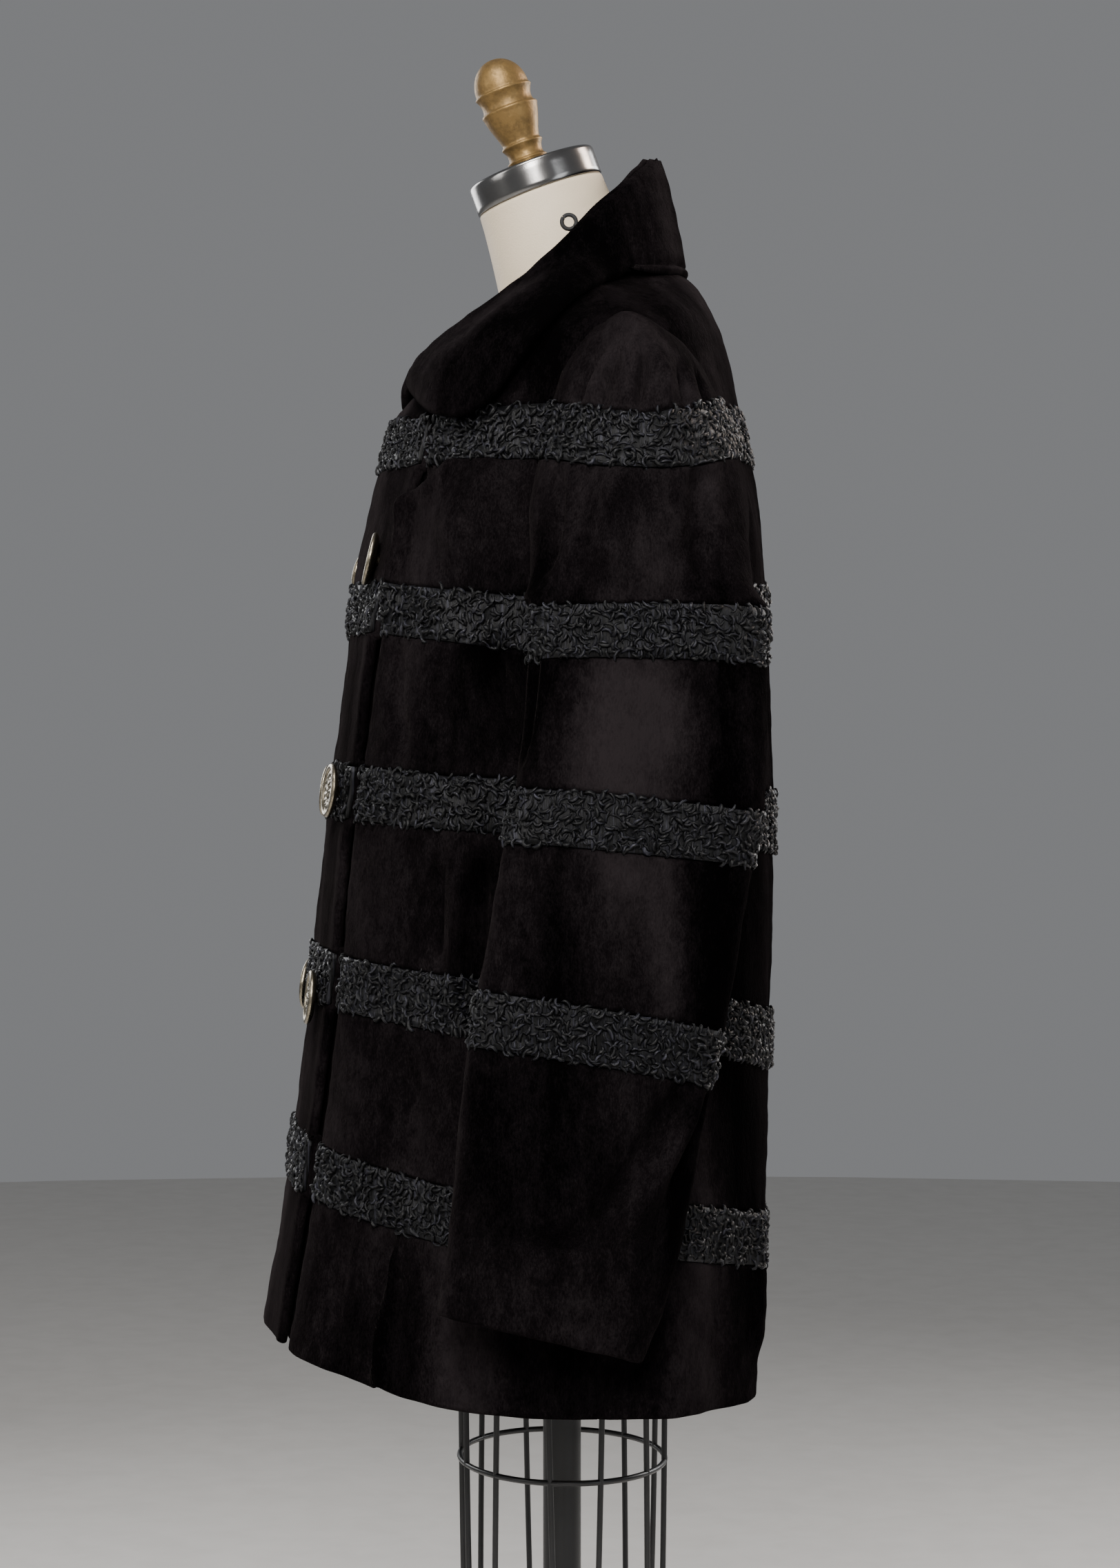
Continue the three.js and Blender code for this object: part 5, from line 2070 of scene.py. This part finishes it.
FAR_CREASES = FRONT_CREASES[5:] + [
    Crease([(-10, 1340), (-24, 1240), (-20, 1120)], 5.0, 42),
    Crease([(250, 900), (255, 840), (250, 780)], -5.2, 12)]
SLEEVE_CREASES = [
    Crease([(-128, 1286), (-112, 1308), (-84, 1328)], -8.1, 7),
    Crease([(-98, 1290), (-88, 1309), (-68, 1326)], 6.1, 9),
    Crease([(-74, 1286), (-66, 1306), (-46, 1324)], -9.1, 6),
    Crease([(-18, 1283), (-10, 1306), (10, 1326)], -9.1, 7),
    Crease([(22, 1282), (30, 1302), (44, 1318)], 6.1, 9),
    Crease([(58, 1284), (68, 1302), (88, 1318)], -9.1, 8),
    Crease([(100, 1286), (112, 1302), (128, 1314)], -7.0, 8),
    Crease([(-47, 1252), (-37, 1212), (-25, 1170)], 7.7, 15),
    Crease([(53, 1252), (49, 1212), (39, 1172)], -7.7, 13),
    Crease([(-112, 1253), (-98, 1212), (-84, 1172)], -10.1, 8),
    Crease([(-84, 1132), (-86, 1092), (-92, 1050)], -9.1, 7),
    Crease([(6, 1136), (12, 1060), (22, 960), (26, 900)], -4.4, 17),
    Crease([(58, 856), (42, 820), (28, 786), (8, 742)], -11.1, 9),
    Crease([(74, 850), (56, 812), (40, 776), (22, 744)], 9.1, 9),
    Crease([(90, 842), (74, 806), (58, 770)], -9.1, 8),
    Crease([(-22, 751), (-6, 745), (12, 748)], -8.1, 5),
    Crease([(-84, 753), (-40, 752), (0, 748), (44, 744), (84, 741)], -2.9, 2.6),
    Crease([(-60, 820), (-52, 780), (-50, 700)], 3.7, 20),
]
BACK_CREASES = [
    Crease([(-60, 1395), (-20, 1330), (0, 1255)], -4.3, 14),
    Crease([(60, 1395), (25, 1330), (6, 1255)], -4.3, 14),
    Crease([(90, 1150), (84, 1060), (92, 940)], -5.2, 16),
    Crease([(-88, 1150), (-80, 1060), (-90, 940)], -5.2, 16),
    Crease([(150, 760), (146, 700), (150, 640)], -7.0, 9),
    Crease([(172, 760), (168, 700), (172, 640)], 6.1, 9),
]


# ---------------------------------------------------------------- studio
@dataclass
class Lamp:
    """A soft rectangular light."""

    name: str
    at: tuple[float, float, float]
    aim: tuple[float, float, float]
    size: tuple[float, float]
    watts: float
    colour: tuple[float, float, float] = (1.0, 1.0, 1.0)

    def build(self) -> None:
        """Hangs the light, turned to its aim."""
        data = bpy.data.lights.new(self.name, "AREA")
        data.shape = "RECTANGLE"
        data.size, data.size_y = self.size
        data.energy = self.watts
        data.color = self.colour
        lamp = linked(self.name, data)
        lamp.location = self.at
        aim = Vector(self.aim) - Vector(self.at)
        lamp.rotation_euler = aim.to_track_quat("-Z", "Y").to_euler()


@dataclass
class Studio:
    """Camera, soft lights, pale floor and pale surroundings."""

    distance: float = 2.63
    height: float = 1.04
    turn: float = 5.0
    lens: float = 83.2
    shift: float = -0.0013
    floor_r: float = 7000.0
    floor_steps: int = 64

    def build(self) -> None:
        """Sets the scene up."""
        self.camera()
        for lamp in self.lamps():
            lamp.build()
        self.floor()
        self.world()

    def camera(self) -> None:
        """Level camera at the wearer's left, turned a little to the front."""
        turn = math.radians(self.turn)
        data = bpy.data.cameras.new("camera")
        data.sensor_fit = "VERTICAL"
        data.sensor_height = 36.0
        data.lens = self.lens
        data.shift_x = self.shift
        camera = linked("camera", data)
        camera.location = (self.distance * math.cos(turn), -self.distance * math.sin(turn),
                           self.height)
        look = Vector((-math.cos(turn), math.sin(turn), 0.0))
        camera.rotation_euler = look.to_track_quat("-Z", "Y").to_euler()
        bpy.context.scene.camera = camera

    def lamps(self) -> list[Lamp]:
        """Key by the camera, soft front, top and fill, warm rim, one behind, one far.

        Returns:
            The lamps: name, place, aim, size, watts, colour.
        """
        return [
            Lamp("key", (2.9, -0.5, 2.3), (0, 0, 1.1), (0.8, 1.1), 92, (1.0, 0.97, 0.94)),
            Lamp("front", (0.9, -2.7, 2.0), (0, 0, 1.15), (1.0, 1.5), 20, (1.0, 0.98, 0.95)),
            Lamp("top", (1.3, -0.7, 3.3), (0, 0, 1.3), (0.9, 0.9), 62, (1.0, 0.98, 0.95)),
            Lamp("fill", (2.2, 1.8, 1.6), (0, 0, 1.0), (1.0, 1.6), 14, (0.93, 0.96, 1.0)),
            Lamp("rim", (-0.7, 2.0, 2.5), (0, 0, 1.25), (0.7, 0.9), 34, (1.0, 0.82, 0.70)),
            Lamp("back", (-1.8, 2.4, 1.9), (0, 0, 1.1), (1.2, 1.6), 45),
            Lamp("far", (-2.2, -1.4, 1.9), (0, 0, 1.1), (1.1, 1.5), 30),
        ]

    def floor(self) -> None:
        """Plain pale floor."""
        steps, r = self.floor_steps, self.floor_r
        ring = np.arange(steps) * 2 * np.pi / steps
        verts = np.stack([r * np.cos(ring), r * np.sin(ring), 0 * ring - 0.5], -1)
        mesh = bpy.data.meshes.new("floor")
        mesh.from_pydata((verts * MM).tolist(), [], [list(range(steps))])
        floor = linked("floor", mesh)
        paint = GrainFinish("pale_floor", (0.62, 0.61, 0.59), (0.58, 0.57, 0.55), 0.8, 300.0,
                            0.0001)
        mesh.materials.append(paint.material())

    def world(self) -> None:
        """Even pale surroundings."""
        world = bpy.data.worlds.new("pale")
        world.use_nodes = True
        back = world.node_tree.nodes["Background"]
        back.inputs["Color"].default_value = (0.60, 0.61, 0.63, 1.0)
        back.inputs["Strength"].default_value = 0.34
        bpy.context.scene.world = world


def main() -> None:
    """Builds the studio, the form and the coat, in that order."""
    logging.basicConfig(level=logging.INFO, format="%(name)s %(message)s")
    Studio().build()
    wardrobe = Wardrobe()
    wardrobe.build()
    DressForm(wardrobe).build()
    Coat(wardrobe).build()


if __name__ == "__main__":
    main()
